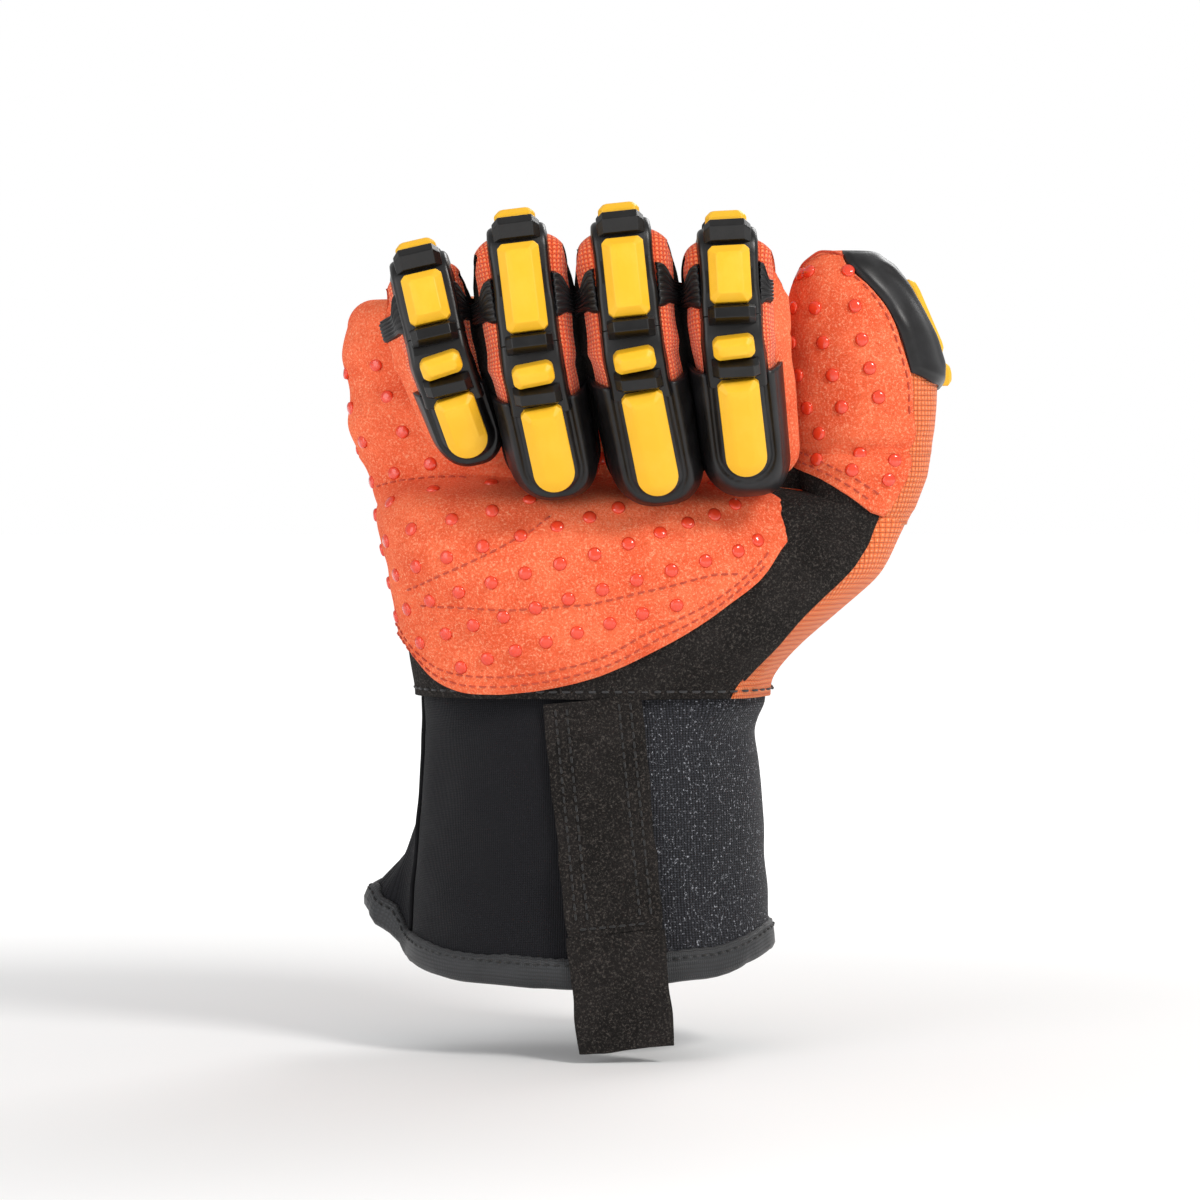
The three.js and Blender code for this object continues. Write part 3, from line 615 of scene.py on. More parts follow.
class Finger:
    """A bent finger: a centre line just under its back, and points placed around it."""

    def __init__(self, name):
        self.name = name
        joints = [f"{name}_{kind}" for kind in ("knuckle", "middle_joint", "tip_joint")]
        self.across = -unit(JOINTS[joints[0]]["axis"])
        self.up = np.cross(self.across, (0, 1, 0))
        self.origin = joint_point(joints[0])
        self.corners = [self.flat(joint_point(joint)) for joint in joints]
        pad = self.flat(node_points(f"{name}_tip_pad"))
        tip = np.linalg.eigh(np.cov(pad.T))[1][:, -1]
        tip = tip if tip[1] < 0 else -tip
        self.directions = [np.array([0.0, 1.0])]
        self.directions += [unit(self.corners[k + 1] - self.corners[k]) for k in range(2)] + [tip]
        sleeve = node_points(f"{name}_tip_sleeve")
        in_tip = self.flat(sleeve) - self.corners[2]
        self.lengths = [np.linalg.norm(self.corners[k + 1] - self.corners[k]) for k in range(2)]
        self.lengths.append((in_tip @ tip).max())
        self.stations = np.concatenate([[0], np.cumsum(self.lengths[:2])])
        self.end = sum(self.lengths)
        self.depth = -(in_tip @ np.array([-tip[1], tip[0]])).min()
        across = (sleeve - self.origin) @ self.across
        near_end = in_tip @ tip > self.lengths[2] - 9.5
        proximal = (node_points(f"{name}_proximal_sleeve") - self.origin) @ self.across
        self.fan = TIP_FAN[name]
        self.widths = [np.ptp(proximal), np.ptp(across[~near_end]), np.ptp(across[near_end])]

    def flat(self, points):
        offset = np.asarray(points) - self.origin
        return np.stack([offset @ FORWARD, offset @ self.up], -1)

    def rail(self, s):
        """Centre line points and directions, with the corners rounded off."""
        segment = np.searchsorted(self.stations, s)
        anchor = np.maximum(segment - 1, 0)
        direction = np.array(self.directions)[segment]
        point = np.array(self.corners)[anchor] + direction * (s - self.stations[anchor])[..., None]
        for k, reach in enumerate(CORNER_REACH):
            x = (s - self.stations[k])[..., None]
            before, after = self.directions[k], self.directions[k + 1]
            rounded = self.corners[k] - before * (reach - x) ** 2 / (4 * reach) + after * (reach + x) ** 2 / (4 * reach)
            turned = before * (reach - x) / (2 * reach) + after * (reach + x) / (2 * reach)
            inside = np.abs(x) < reach
            point = np.where(inside, rounded, point)
            direction = np.where(inside, turned, direction)
        return point, direction / np.linalg.norm(direction, axis=-1, keepdims=True)

    def points(self, s, across, height):
        """Points at distance s along, across the finger, and height over the centre line."""
        s, across, height = np.broadcast_arrays(*(np.asarray(x, float) for x in (s, across, height)))
        centre, direction = self.rail(s)
        normal = np.stack([-direction[..., 1], direction[..., 0]], -1)
        flat = centre + normal * np.maximum(height, self.crease_floor(s))[..., None]
        across = across + self.fan * np.clip(s - self.stations[2], 0, None)
        return (self.origin + flat[..., :1] * FORWARD + flat[..., 1:] * self.up
                + across[..., None] * self.across)

    def crease_floor(self, s):
        """Lowest height inside a bend before the fabric of the two bones meets."""
        floor = np.full(np.shape(s), -99.0)
        for k, reach in enumerate(CORNER_REACH):
            half_bend = math.acos(np.clip(self.directions[k] @ self.directions[k + 1], -1, 1)) / 2
            past = np.maximum(np.abs(s - self.stations[k]), reach) * math.cos(half_bend) - CREASE_GAP
            floor = np.maximum(floor, -np.maximum(past, 0) / (math.sin(half_bend) + CREASE_SPREAD[k]))
        return floor

    def thickness(self, s):
        return self.depth * (1 - 0.16 * np.exp(-((s - self.stations[1]) / 9) ** 2)
                             - 0.07 * np.exp(-((s - self.stations[2]) / 7) ** 2))

    def section(self, s, angle, offset=0.0, bulge=1.0):
        """Points of the finger's skin at distance s and angle round it, 90 degrees on its back."""
        s, angle = np.broadcast_arrays(np.asarray(s, float), np.asarray(angle, float))
        width = np.interp(s, [0, *self.stations[1:], self.end],
                          [self.widths[0], self.widths[0], self.widths[1], self.widths[2]])
        width = width + 0.9 * np.exp(-((s - self.stations[1]) / 8) ** 2)
        depth = self.thickness(s)
        past = np.clip((s - (self.end - TIP_ROUND)) / (TIP_ROUND + offset), 0, 1)
        shrink = (1 - past ** 2.4) ** (1 / 2.4)
        middle, half = (BACK - depth) / 2, (BACK + depth) / 2 + offset
        c, d = np.cos(np.radians(angle)), np.sin(np.radians(angle))
        below = np.where(c > 0, angle, 180 - angle)
        left, right = SIDE_BULGE[self.name]
        outer = np.sign(c) == OUTER_SIDE.get(self.name, 0)
        level, spread = np.where(outer, 9, 20), np.where(outer, 12, 22)
        roll = np.where(c > 0, right, left) * bulge * np.exp(-((below + level) / spread) ** 2)
        roll = roll * smoothstep(s, self.stations[1] - 16, self.stations[1] + 4)
        across = (width / 2 + offset + roll) * np.sign(c) * np.abs(c) ** (2 / SQUARENESS) * shrink
        height = middle + half * np.sign(d) * np.abs(d) ** (2 / SQUARENESS) * shrink
        return across, height

    def skin(self, s, angle, offset=0.0):
        across, height = self.section(s, angle, offset)
        depth, floor = self.thickness(s), self.crease_floor(s)
        level = np.clip((floor - (BACK - depth) / 2) / ((BACK + depth) / 2 + offset), -1, 1)
        turn = np.degrees(np.arcsin(np.sign(level) * np.abs(level) ** (SQUARENESS / 2)))
        right, left = self.section(s, turn, offset)[0], self.section(s, 180 - turn, offset)[0]
        across = np.where(height < floor, np.clip(across, left, right), across)
        return self.points(s, across, height)

    def fold_ends(self, k, reach):
        """Ends of the bend at joint k, for fabric that follows both of its bones."""
        fold = unit(self.directions[k] + self.directions[k + 1])
        offset = fold[0] * FORWARD + fold[1] * self.up
        centre = self.points(self.stations[k], 0.0, 0.0)
        return place(centre - offset * reach), place(centre + offset * reach)


def sleeve_relief(finger, s, angle):
    """Soft unevenness of the knit, with small folds across the finger at its joints."""
    near = sum(np.exp(-((s - station) / 9) ** 2) for station in finger.stations[1:])
    folds = np.sin(s / 1.9 + 1.5 * np.sin(np.radians(angle) * 2)) * 0.22 * near
    side = np.abs(np.sin(np.radians(angle) - math.pi / 2)) ** 2
    seed = 13.0 * FINGERS.index(finger.name)
    return 0.35 * noise(s + seed, angle / 4, 9.0) + folds * side


def finger_sleeve(finger, part, start, end):
    closed_end = end >= finger.end
    tucked = SLEEVE_TUCK if start > 0 else 0.0
    s = np.linspace(start - tucked, end, int((end - start) / 0.85))
    if closed_end:
        s = np.concatenate([s[s < end - TIP_ROUND], end - TIP_ROUND * (1 - np.sin(np.linspace(0, 1, 14) * math.pi / 2))])
    angle = np.linspace(-90, 270, COLUMNS + 1)
    S, A = np.meshgrid(s, angle, indexing="ij")
    lining = (1 - smoothstep(S, start - tucked, start)) * (tucked > 0)
    points = finger.skin(S, A, sleeve_relief(finger, S, A) - 0.3 * lining)
    if not closed_end or start > 0:
        points[:, -1] = points[:, 0]
    arc = np.concatenate([[0], np.cumsum(np.linalg.norm(np.diff(
        np.stack(finger.section(np.full(angle.shape, finger.stations[1] - 20), angle), -1), axis=0), axis=1))])
    uv = np.stack([np.broadcast_to(arc, S.shape), S], -1)
    middle = (angle[:-1] + angle[1:]) / 2
    between = (middle > -50) & (middle < 230)
    if finger.name == "index":
        between &= middle > 90
    if finger.name == "pinky":
        between &= middle < 90
    zone = np.where((middle > 8) & (middle < 172), 0, np.where(between, 1, 2))
    obj = grid(f"{finger.name}_{part}_fabric", points, uv, [FINGER_KNIT, FOURCHETTE, ORANGE_SUEDE],
               np.broadcast_to(zone, (len(s) - 1, COLUMNS)))
    weld(obj)
    return obj


def weld(obj, distance=0.004):
    mesh = bmesh.new()
    mesh.from_mesh(obj.data)
    bmesh.ops.remove_doubles(mesh, verts=mesh.verts, dist=distance / MM)
    bmesh.ops.dissolve_degenerate(mesh, edges=mesh.edges, dist=distance / MM)
    bmesh.ops.recalc_face_normals(mesh, faces=mesh.faces)
    mesh.to_mesh(obj.data)
    mesh.free()
    obj.data.update()


def strip_piece(finger, part, start, end):
    """Flat moulded band that carries the pads, with a slightly uneven width."""
    profile = [(-1.06, -0.9), (-1, 0.6), (-0.97, 2.7), (-0.91, 3.3), (-0.82, 3.6),
               (0.82, 3.6), (0.91, 3.3), (0.97, 2.7), (1, 0.6), (1.06, -0.9)]
    s = np.linspace(start, end, max(int((end - start) / 0.7), 6))
    half = 7.3 + 0.25 * noise(s, s * 0 + 3, 5.0)
    rings = [finger.points(np.full(len(profile), at), [side * reach for side, _ in profile],
                           [height for _, height in profile]) for at, reach in zip(s, half)]
    verts, faces = ring_stack(rings)
    obj = new_object(f"{finger.name}_{part}_strip", verts, faces, [BLACK_RUBBER])
    weld(obj)
    return soften_edges(obj, 0.25)


def segment_frame(finger, k):
    """Origin, direction, normal and across vectors of bone k, straight and unrounded."""
    direction = finger.directions[k + 1]
    centre = finger.origin + finger.corners[k][0] * FORWARD + finger.corners[k][1] * finger.up
    along = direction[0] * FORWARD + direction[1] * finger.up
    normal = -direction[1] * FORWARD + direction[0] * finger.up
    if k == 2:
        along = unit(along + finger.fan * finger.across)
    return centre, along, normal, np.cross(normal, along) * np.sign(np.cross(normal, along) @ finger.across)


def pad_ring(half, start, end, corner, round_end, inset):
    """Outline of a pad in (across, along), pulled in by `inset`."""
    x, low, high = half - inset, start + inset, end - inset
    cut = max(corner - 0.3 * inset, 0.3)
    top = [(x, low + cut), (x - cut, low), (cut - x, low), (-x, low + cut)]
    if round_end:
        centre = end - half
        turn = np.linspace(math.pi, 0, 17)
        return top + [(x * math.cos(t), centre + (high - centre) * math.sin(t)) for t in turn]
    return top + [(-x, high - cut), (cut - x, high), (x - cut, high), (x, high - cut)]


def pad_stages(finger, k, half, start, end, stages, corner=1.1, round_end=False, slope=0.0):
    centre, along, normal, across = segment_frame(finger, k)
    rings = []
    for inset, height in stages:
        ring = np.array(pad_ring(half, start, end, corner, round_end, inset))
        fall = slope * smoothstep(ring[:, 1], start, end) * max(height - 4.2, 0)
        rings.append(centre + ring[:, 1:] * along + ring[:, :1] * across
                     + (height - fall)[:, None] * normal)
    return ring_stack(rings[::-1])


PAD_STAGES = ((0.2, 3.4), (0.0, 3.8), (0.0, 6.2), (1.9, 7.9), (3.2, 8.2))
SHORT_PAD_STAGES = ((0.15, 3.0), (0.0, 3.4), (0.0, 6.5), (1.3, 7.9), (1.7, 8.0))


def yellow_pad(finger, k, part, start, end, stages=PAD_STAGES, **options):
    node = f"{finger.name}_{part}_pad"
    verts, faces = pad_stages(finger, k, PAD_HALF, start, end, stages, **options)
    obj = new_object(f"{node}_moulding", verts, faces, [YELLOW_RUBBER], smooth=False)
    soften_edges(obj, 0.42, 3)
    obj.data.polygons.foreach_set("use_smooth", [True] * len(obj.data.polygons))
    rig.replaces(obj, node)
    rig.slot(obj, "yellow_rubber")
    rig.ride(obj, f"{finger.name}_{('proximal', 'middle', 'tip')[k]}")


def ridge_body(finger, start, end):
    """Faceted cross ridge that follows the centre line."""
    rings = []
    for s, top in ((start, 5.4), (start + 1.0, 7.7), (end - 1.1, 7.7), (end, 5.2)):
        profile = np.array([(-1, 3.0), (-1, top - 1.9), (-0.72, top), (0.72, top), (1, top - 1.9), (1, 3.0)])
        rings.append(finger.points(s, profile[:, 0] * RIDGE_HALF, profile[:, 1]))
    return ring_stack(rings)


def ridges(finger, k, spans):
    station = finger.stations[k]
    verts, faces = join_bodies([ridge_body(finger, station + low, station + high) for low, high in spans])
    part = ("proximal", "middle", "tip")[k]
    obj = new_object(f"{finger.name}_{part}_ridges", verts, faces, [BLACK_RUBBER])
    soften_edges(obj, 0.3, 2)
    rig.slot(obj, "black_rubber")
    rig.ride(obj, f"{finger.name}_{part}")


def cross_bands(finger):
    """Ribbed rubber wings that run from the strip round both sides of the middle bone."""
    bands = []
    centre = finger.stations[1] + 0.5 * finger.lengths[1]
    for side in (1, -1):
        share = np.linspace(0, 1, 60)
        turn = np.linspace(0, 1, 26)
        V, U = np.meshgrid(share, turn, indexing="ij")
        angle = 90 - side * (33 + (36 if (finger.name, side) == ("index", 1) else 74) * U)
        top = centre - 6.8 + 4.2 * smoothstep(U, 0.1, 0.5)
        bottom = centre + 4.2 - 1.1 * smoothstep(U, 0.1, 0.45)
        s = top + (bottom - top) * V
        ribs = np.abs(np.sin(math.pi * V * 6.5 + 0.6 * U)) ** 0.7 * 0.45
        edge = smoothstep(V, 0, 0.08) * (1 - smoothstep(V, 0.92, 1)) * (1 - smoothstep(U, 0.8, 1))
        points = finger.skin(s, angle, 0.1 + edge * (0.75 + ribs))
        uv = np.stack([U * 12, V * 11], -1)
        bands.append(grid(f"{finger.name}_band_{'right' if side > 0 else 'left'}", points, uv, [CAP_RUBBER],
                          flip=side > 0))
    for band in bands:
        thicken(band, 0.5)
        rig.slot(band, "black_rubber")
        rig.ride(band, f"{finger.name}_middle")


def tip_cap(finger):
    """Moulded cap over the fingertip's back and sides, with a groove round the tip pad."""
    low = math.degrees(math.asin(0.5 ** (SQUARENESS / 2)))
    outer = OUTER_SIDE.get(finger.name, 0)
    angle = np.linspace(9 if outer > 0 else -low, 171 if outer < 0 else 180 + low, 72)
    begin = finger.stations[2] + CAP_START
    stop = finger.end + CAP_LIFT + CAP_WALL
    body_rows = np.linspace(begin, stop - TIP_ROUND, 34)
    end_rows = stop - TIP_ROUND * (1 - np.sin(np.linspace(0.04, 0.985, 18) * math.pi / 2))
    s = np.concatenate([body_rows, end_rows])
    S, A = np.meshgrid(s, angle, indexing="ij")
    lift = CAP_LIFT + CAP_WALL
    across, height = finger.section(S, A, lift, 0.25)
    pad_end = finger.end - TIP_PAD_SHORTFALL[finger.name]
    flat_part = np.clip((S - (pad_end - 5)) / 6.6, 0, None)
    beside = np.sqrt((across / 6.6) ** 2 + np.where(S > pad_end - 5, flat_part ** 2, 0))
    dorsal = height > 0
    groove = np.exp(-((beside - 1) / 0.09) ** 2) * dorsal
    height = height - 0.9 * groove + 0.5 * dorsal * smoothstep(beside, 1.05, 1.25) * (1 - smoothstep(beside, 1.3, 1.9))
    relief = 0.12 * noise(S, A / 5, 6.0)
    points = finger.points(S, across * (1 + relief / 20), height + relief)
    uv = np.stack([A / 4, S], -1)
    obj = grid(f"{finger.name}_tip_cap_moulding", points, uv, [CAP_RUBBER])
    thicken(obj, CAP_WALL)
    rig.replaces(obj, f"{finger.name}_tip_cap")
    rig.slot(obj, "black_rubber")
    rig.ride(obj, f"{finger.name}_tip")


def build_finger(name):
    finger = Finger(name)
    first, second = finger.stations[1], finger.stations[2]
    splits = (-REACH_BACK, first * 0.52, first + 0.7 * finger.lengths[1], finger.end)
    bodies = ("hand", f"{name}_proximal", f"{name}_middle", f"{name}_tip")
    for k, part in enumerate(("proximal", "middle", "tip")):
        sleeve = finger_sleeve(finger, part, splits[k], splits[k + 1])
        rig.replaces(sleeve, f"{name}_{part}_sleeve")
        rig.slot(sleeve, "finger_knit")
        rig.blend(sleeve, bodies[k], bodies[k + 1], *finger.fold_ends(k, (6, 3, 2)[k]))

    bone, middle_bone, tip_bone = finger.lengths
    yellow_pad(finger, 0, "proximal", 14.0, bone - 12.9)
    ridges(finger, 0, [(bone - 12.5, bone - 8.0)])
    yellow_pad(finger, 0, "upper_joint", bone - 7.5, bone - 1.7, SHORT_PAD_STAGES)
    ridges(finger, 1, [(-0.9, 2.0), (middle_bone - 7.7, middle_bone - 3.1)])
    yellow_pad(finger, 1, "middle", 2.3, middle_bone - 8.1)
    yellow_pad(finger, 2, "lower_joint", -2.5, 2.8, SHORT_PAD_STAGES)
    ridges(finger, 2, [(3.3, 8.0)])
    yellow_pad(finger, 2, "tip", 8.5, tip_bone - TIP_PAD_SHORTFALL[name], round_end=True, slope=0.45)

    strips = [
        strip_piece(finger, "proximal", 11.6, first - 10.2),
        strip_piece(finger, "middle", first - 10.2, second - 5.4),
        strip_piece(finger, "tip", second - 5.4, second + CAP_START + 3),
    ]
    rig.replaces(strips[0], f"{name}_proximal_guard")
    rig.replaces(strips[1], f"{name}_middle_guard")
    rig.ride(strips[0], bodies[1])
    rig.blend(strips[1], bodies[1], bodies[2], *finger.fold_ends(1, 3.5))
    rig.blend(strips[2], bodies[2], bodies[3], *finger.fold_ends(2, 3))
    for strip in strips:
        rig.slot(strip, "black_rubber")
    cross_bands(finger)
    tip_cap(finger)


for finger_name in FINGERS:
    build_finger(finger_name)


# ---------- surfaces round the hand, the thumb and the cuff ----------

def smooth_rows(field, passes):
    """Gaussian-like smoothing, periodic across the columns."""
    for _ in range(passes):
        field = (np.roll(field, 1, 1) + 2 * field + np.roll(field, -1, 1)) / 4
        padded = np.vstack([field[:1], field, field[-1:]])
        field = (padded[:-2] + 2 * padded[1:-1] + padded[2:]) / 4
    return field


class Shell:
    """Skin round an upright line: a radius for every angle and height, taken from CAD nodes."""

    REACH = 130.0

    def __init__(self, nodes, centre_rows, low, high, passes, step=1.5, gap=None, root=None, sharp=None):
        """gap is a band of heights at a joint, left out; root is one where a broad base runs on;
        sharp is a span of angles that stays unsmoothed."""
        tree = node_tree(*nodes)
        self.centre_rows = np.array(centre_rows, float)
        self.z = np.arange(low, high + step / 2, step)
        self.columns = 144
        angles = np.arange(self.columns) * 2 * math.pi / self.columns
        field = np.full((len(self.z), self.columns), np.nan)
        for i, z in enumerate(self.z):
            x, y = self.centre(z)
            for j, angle in enumerate(angles):
                direction = Vector((math.cos(angle), math.sin(angle), 0))
                hit = tree.ray_cast(Vector((x, y, z)) + direction * self.REACH, -direction, self.REACH)
                if hit[0] is not None:
                    field[i, j] = self.REACH - hit[3]
        for j in range(self.columns):
            column = field[:, j]
            good = np.isfinite(column)
            if gap:
                good &= (self.z < gap[0]) | (self.z > gap[1])
            field[:, j] = np.interp(self.z, self.z[good], column[good])
        if root:
            at = int((root[0] - self.z[0]) / step)
            for i in range(at + 1, int((root[1] - self.z[0]) / step)):
                held = field[at] - (self.z[i] - self.z[at]) * 0.35
                field[i] = np.where(field[at] > field[i] + 3, held, field[i])
        self.field = smooth_rows(field, passes)
        if sharp:
            kept = (np.degrees(angles) > sharp[0]) & (np.degrees(angles) < sharp[1])
            self.field[:, kept] = field[:, kept]

    def centre(self, z):
        rows = self.centre_rows
        return np.interp(z, rows[:, 0], rows[:, 1]), np.interp(z, rows[:, 0], rows[:, 2])

    def radius(self, angle, z):
        column = (np.asarray(angle, float) % 360) / 360 * self.columns
        row = np.clip((np.asarray(z, float) - self.z[0]) / (self.z[1] - self.z[0]), 0, len(self.z) - 1.001)
        c, r = np.floor(column).astype(int), np.floor(row).astype(int)
        fc, fr = column - c, row - r
        at = lambda i, j: self.field[i, j % self.columns]
        low = at(r, c) * (1 - fc) + at(r, c + 1) * fc
        high = at(r + 1, c) * (1 - fc) + at(r + 1, c + 1) * fc
        return low * (1 - fr) + high * fr

    def bare(self, angle, z, inset=0.0):
        angle, z = np.broadcast_arrays(np.asarray(angle, float), np.asarray(z, float))
        radius = np.maximum(self.radius(angle, z) - inset, 0.4)
        x, y = self.centre(z)
        return np.stack([x + radius * np.cos(np.radians(angle)), y + radius * np.sin(np.radians(angle)), z], -1)

    def normals(self, angle, z):
        across = self.bare(np.asarray(angle) + 1.5, z) - self.bare(np.asarray(angle) - 1.5, z)
        upward = self.bare(angle, np.asarray(z) + 0.8) - self.bare(angle, np.asarray(z) - 0.8)
        normal = np.cross(across, upward)
        return normal / np.linalg.norm(normal, axis=-1, keepdims=True)

    def points(self, angle, z, offset=0.0):
        return self.bare(angle, z) + self.normals(angle, z) * np.asarray(offset, float)[..., None]

    def arc(self, angle, z):
        """Distance round the skin from angle 0 at one height, for fabric coordinates."""
        fine = np.linspace(-180, 540, 721)
        ring = self.bare(fine, np.full(fine.shape, float(z)))
        length = np.concatenate([[0], np.cumsum(np.linalg.norm(np.diff(ring, axis=0), axis=1))])
        return np.interp(angle, fine, length)

    def angle_at_arc(self, arc, z):
        fine = np.linspace(-180, 540, 721)
        return np.interp(arc, self.arc(fine, z), fine)

    def angle_of(self, x, z, low, high):
        """Angle between low and high at which the skin stands at x."""
        fine = np.linspace(low, high, 90)
        xs = self.bare(fine, np.full(fine.shape, float(z)))[:, 0]
        rising = xs.argmax() + 1
        return float(np.interp(x, xs[:rising], fine[:rising]))


def body_object(name, bodies, material, slot, body, smooth=True):
    verts, faces = join_bodies(bodies)
    obj = new_object(name, verts, faces, [material], smooth)
    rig.slot(obj, slot)
    if body:
        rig.ride(obj, body)
    return obj


def cord(points, radius):
    """Thin rolled seam cord along a line of points."""
    points = np.asarray(points, float)
    rings = []
    for i, point in enumerate(points):
        along = unit(points[min(i + 1, len(points) - 1)] - points[max(i - 1, 0)])
        side = unit(np.cross(along, (0.3, 1.0, 0.2)))
        other = np.cross(along, side)
        turn = np.arange(8) * math.pi / 4
        rings.append(point + radius * (np.cos(turn)[:, None] * side + np.sin(turn)[:, None] * other))
    return ring_stack(rings)


# ---------- hand ----------

HAND = Shell(("palm_panel", "back_panel"), [(0, 2, -3), (48, 4, -4), (60, -6, 2), (108, -6, 2)], 0.6, 100, 3,
             root=(44.5, 53))
HAND_BOTTOM = 0.6
PATCH_EDGE = np.array([(-70, 16), (-43.4, 14.5), (-40.5, 8.5), (-36, 4.4), (-30.7, 2.3), (-22.2, 1.8), (-13.7, 2.7),
                       (-5.1, 4.6), (3.4, 7.2), (11.9, 11), (20.4, 15.3), (28.8, 20.4), (33.1, 23.4), (39.9, 28),
                       (43.6, 31.4), (45.8, 35), (47.6, 39), (60, 44)], float)
PATCH_CURVE_X = np.linspace(-76, 66, 143)
PATCH_CURVE_Z = np.convolve(np.pad(np.interp(PATCH_CURVE_X, *PATCH_EDGE.T), 2, mode="edge"), np.ones(5) / 5, "valid")
WOVEN_EDGE = np.array([(0, 34.5), (1.5, 36), (16, 47), (32, 63), (40, 70.5), (47, 73), (52, 70)], float)


def hand_top(angle):
    """Height at which the hand rounds over under the fingers."""
    turn = np.radians(np.asarray(angle, float))
    return 88 + 5.5 * np.sin(turn) + 2.0 * np.clip(-np.cos(turn), 0, 1)


def hand_relief(angle, z):
    arc = HAND.arc(angle, 30)
    return 0.7 * noise(arc, z, 17.0) + 0.3 * noise(arc + 40, z, 7.0)


def woven_angle(z):
    """Front edge of the woven side panel, as an angle round the hand."""
    z = np.atleast_1d(np.asarray(z, float))
    x = np.interp(z, WOVEN_EDGE[:, 0], WOVEN_EDGE[:, 1])
    return np.array([HAND.angle_of(min(a, HAND.bare(350, b)[0] - 0.5), b, 275, 372) for a, b in zip(x, z)])


def roofed(angle, z, top, radius=9.0):
    """Rounds the rows above `top` over towards the middle of the hand."""
    past = np.clip((z - top) / (radius * 1.55), 0, 1)
    turn = past * math.pi / 2
    inset = radius * (1 - np.cos(turn)) + 30 * np.clip(past - 0.75, 0, 1) * 4 * 0.9
    height = np.where(z > top, top + radius * np.sin(turn), z)
    return height, inset


def hand_rows(angles_of_z, columns, offset, drop=0.0, low=HAND_BOTTOM, roof=14.0, relief=1.0):
    """Grid of points over the hand between two edge angles, closing over at the top."""
    share = np.linspace(0, 1, columns)
    rows = np.concatenate([np.linspace(low, 86, int((86 - low) / 1.1)), np.linspace(86.8, 88 + roof, 22)])
    edges = np.array([angles_of_z(min(z, 90)) for z in rows])
    A = edges[:, :1] + (edges[:, 1:] - edges[:, :1]) * share
    Z = np.broadcast_to(rows[:, None], A.shape)
    height, inset = roofed(A, Z, hand_top(A) - drop)
    flat = np.minimum(height, 98)
    points = HAND.bare(A, flat, inset) + HAND.normals(A, np.minimum(flat, 92)) * (
        offset + relief * hand_relief(A, Z))[..., None] * np.where(inset > 25, 0, 1)[..., None]
    points[..., 2] += height - flat
    uv = np.stack([HAND.arc(A, 30), Z], -1)
    return points, uv, A, Z


def build_hand():
    seam = {z: float(woven_angle(min(z, 45.0))[0]) for z in np.linspace(0, 90, 46)}
    heights = np.array(sorted(seam))
    seam_values = np.array([seam[z] for z in heights])
    kernel = np.ones(9) / 9
    seam_values = np.convolve(np.pad(seam_values, 4, mode="edge"), kernel, "valid")
    right = lambda z: float(np.interp(z, heights, seam_values))
    left = lambda z: 171.0

    points, uv, _, _ = hand_rows(lambda z: (left(z), right(z)), 150, 0.5, 1.6)
    palm = grid("palm_fabric", points, uv, [BLACK_SUEDE])
    thicken(palm, 1.3)
    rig.replaces(palm, "palm_panel")
    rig.slot(palm, "black_suede")
    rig.ride(palm, "hand")

    points, uv, _, _ = hand_rows(lambda z: (right(z) - 361.5, left(z) + 1.5), 170, 0.1)
    back = grid("back_fabric", points, uv, [WOVEN])
    thicken(back, 1.2)
    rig.replaces(back, "back_panel")
    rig.slot(back, "woven_back")
    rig.ride(back, "hand")


build_hand()


def build_web():
    """Fabric that joins the thumb's root to the side of the palm."""
    across, up = np.meshgrid(np.linspace(0, 1, 26), np.linspace(0, 1, 40))
    z = 38 + (24 - 4 * np.sin(math.pi * across) + 3 * across) * up
    x = 40 + 18 * across
    y = -14.2 + 4.5 * across + 2.5 * up + 0.7 * noise(x, z, 9.0)
    web = grid("thumb_web_fabric", np.stack([x, y, z], -1), np.stack([x, z], -1), [BLACK_SUEDE])
    thicken(web, 1.2)
    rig.slot(web, "black_suede")
    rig.blend(web, "hand", "thumb_base", place([(46, -12, 50)])[0], place([(58, -12, 50)])[0])


build_web()


# ---------- palm patch ----------

PATCH_LEFT = 166.0
PATCH_RIGHT_EDGE = np.array([(0, 48.2), (41, 48.2), (44, 47.8), (47, 46.4), (50, 44.4), (62, 46), (96, 46)], float)


def patch_right(z):
    reach = min(np.interp(z, *PATCH_RIGHT_EDGE.T), HAND.bare(345, z)[0] - 1.0)
    return HAND.angle_of(reach, z, 272, 356)


PATCH_HEIGHTS = np.linspace(0, 96, 49)
PATCH_RIGHT_ANGLES = np.convolve(
    np.pad([patch_right(z) for z in PATCH_HEIGHTS], 1, mode="edge"), np.array([1, 2, 1]) / 4, "valid")


def patch_angle(share, z):
    right = np.interp(z, PATCH_HEIGHTS, PATCH_RIGHT_ANGLES)
    return PATCH_LEFT + (right - PATCH_LEFT) * share


def patch_bottom(share):
    """Height of the patch's lower edge at a share of its width."""
    z = np.full(np.shape(share), 20.0)
    for _ in range(60):
        x = HAND.bare(patch_angle(share, z), z)[..., 0]
        z = 0.65 * z + 0.35 * np.interp(x, PATCH_CURVE_X, PATCH_CURVE_Z)
    return z


def patch_relief(angle, z):
    arc = HAND.arc(angle, 30)
    loose = np.exp(-((angle - 188) / 16) ** 2) * np.exp(-((z - 78) / 16) ** 2)
    fold = loose * (1.6 + 1.8 * np.sin((z - 0.35 * arc) / 3.4))
    crease = -0.9 * np.exp(-((z - 52 + 0.12 * (arc - HAND.arc(235, 30))) / 2.2) ** 2) * smoothstep(angle, 190, 205) * (
        1 - smoothstep(angle, 225, 262))
    ripple = 0.45 * noise(arc, z, 12.0) + 0.22 * noise(arc, z + 30, 4.5)
    return 0.7 * noise(arc, z, 17.0) + ripple + fold + crease


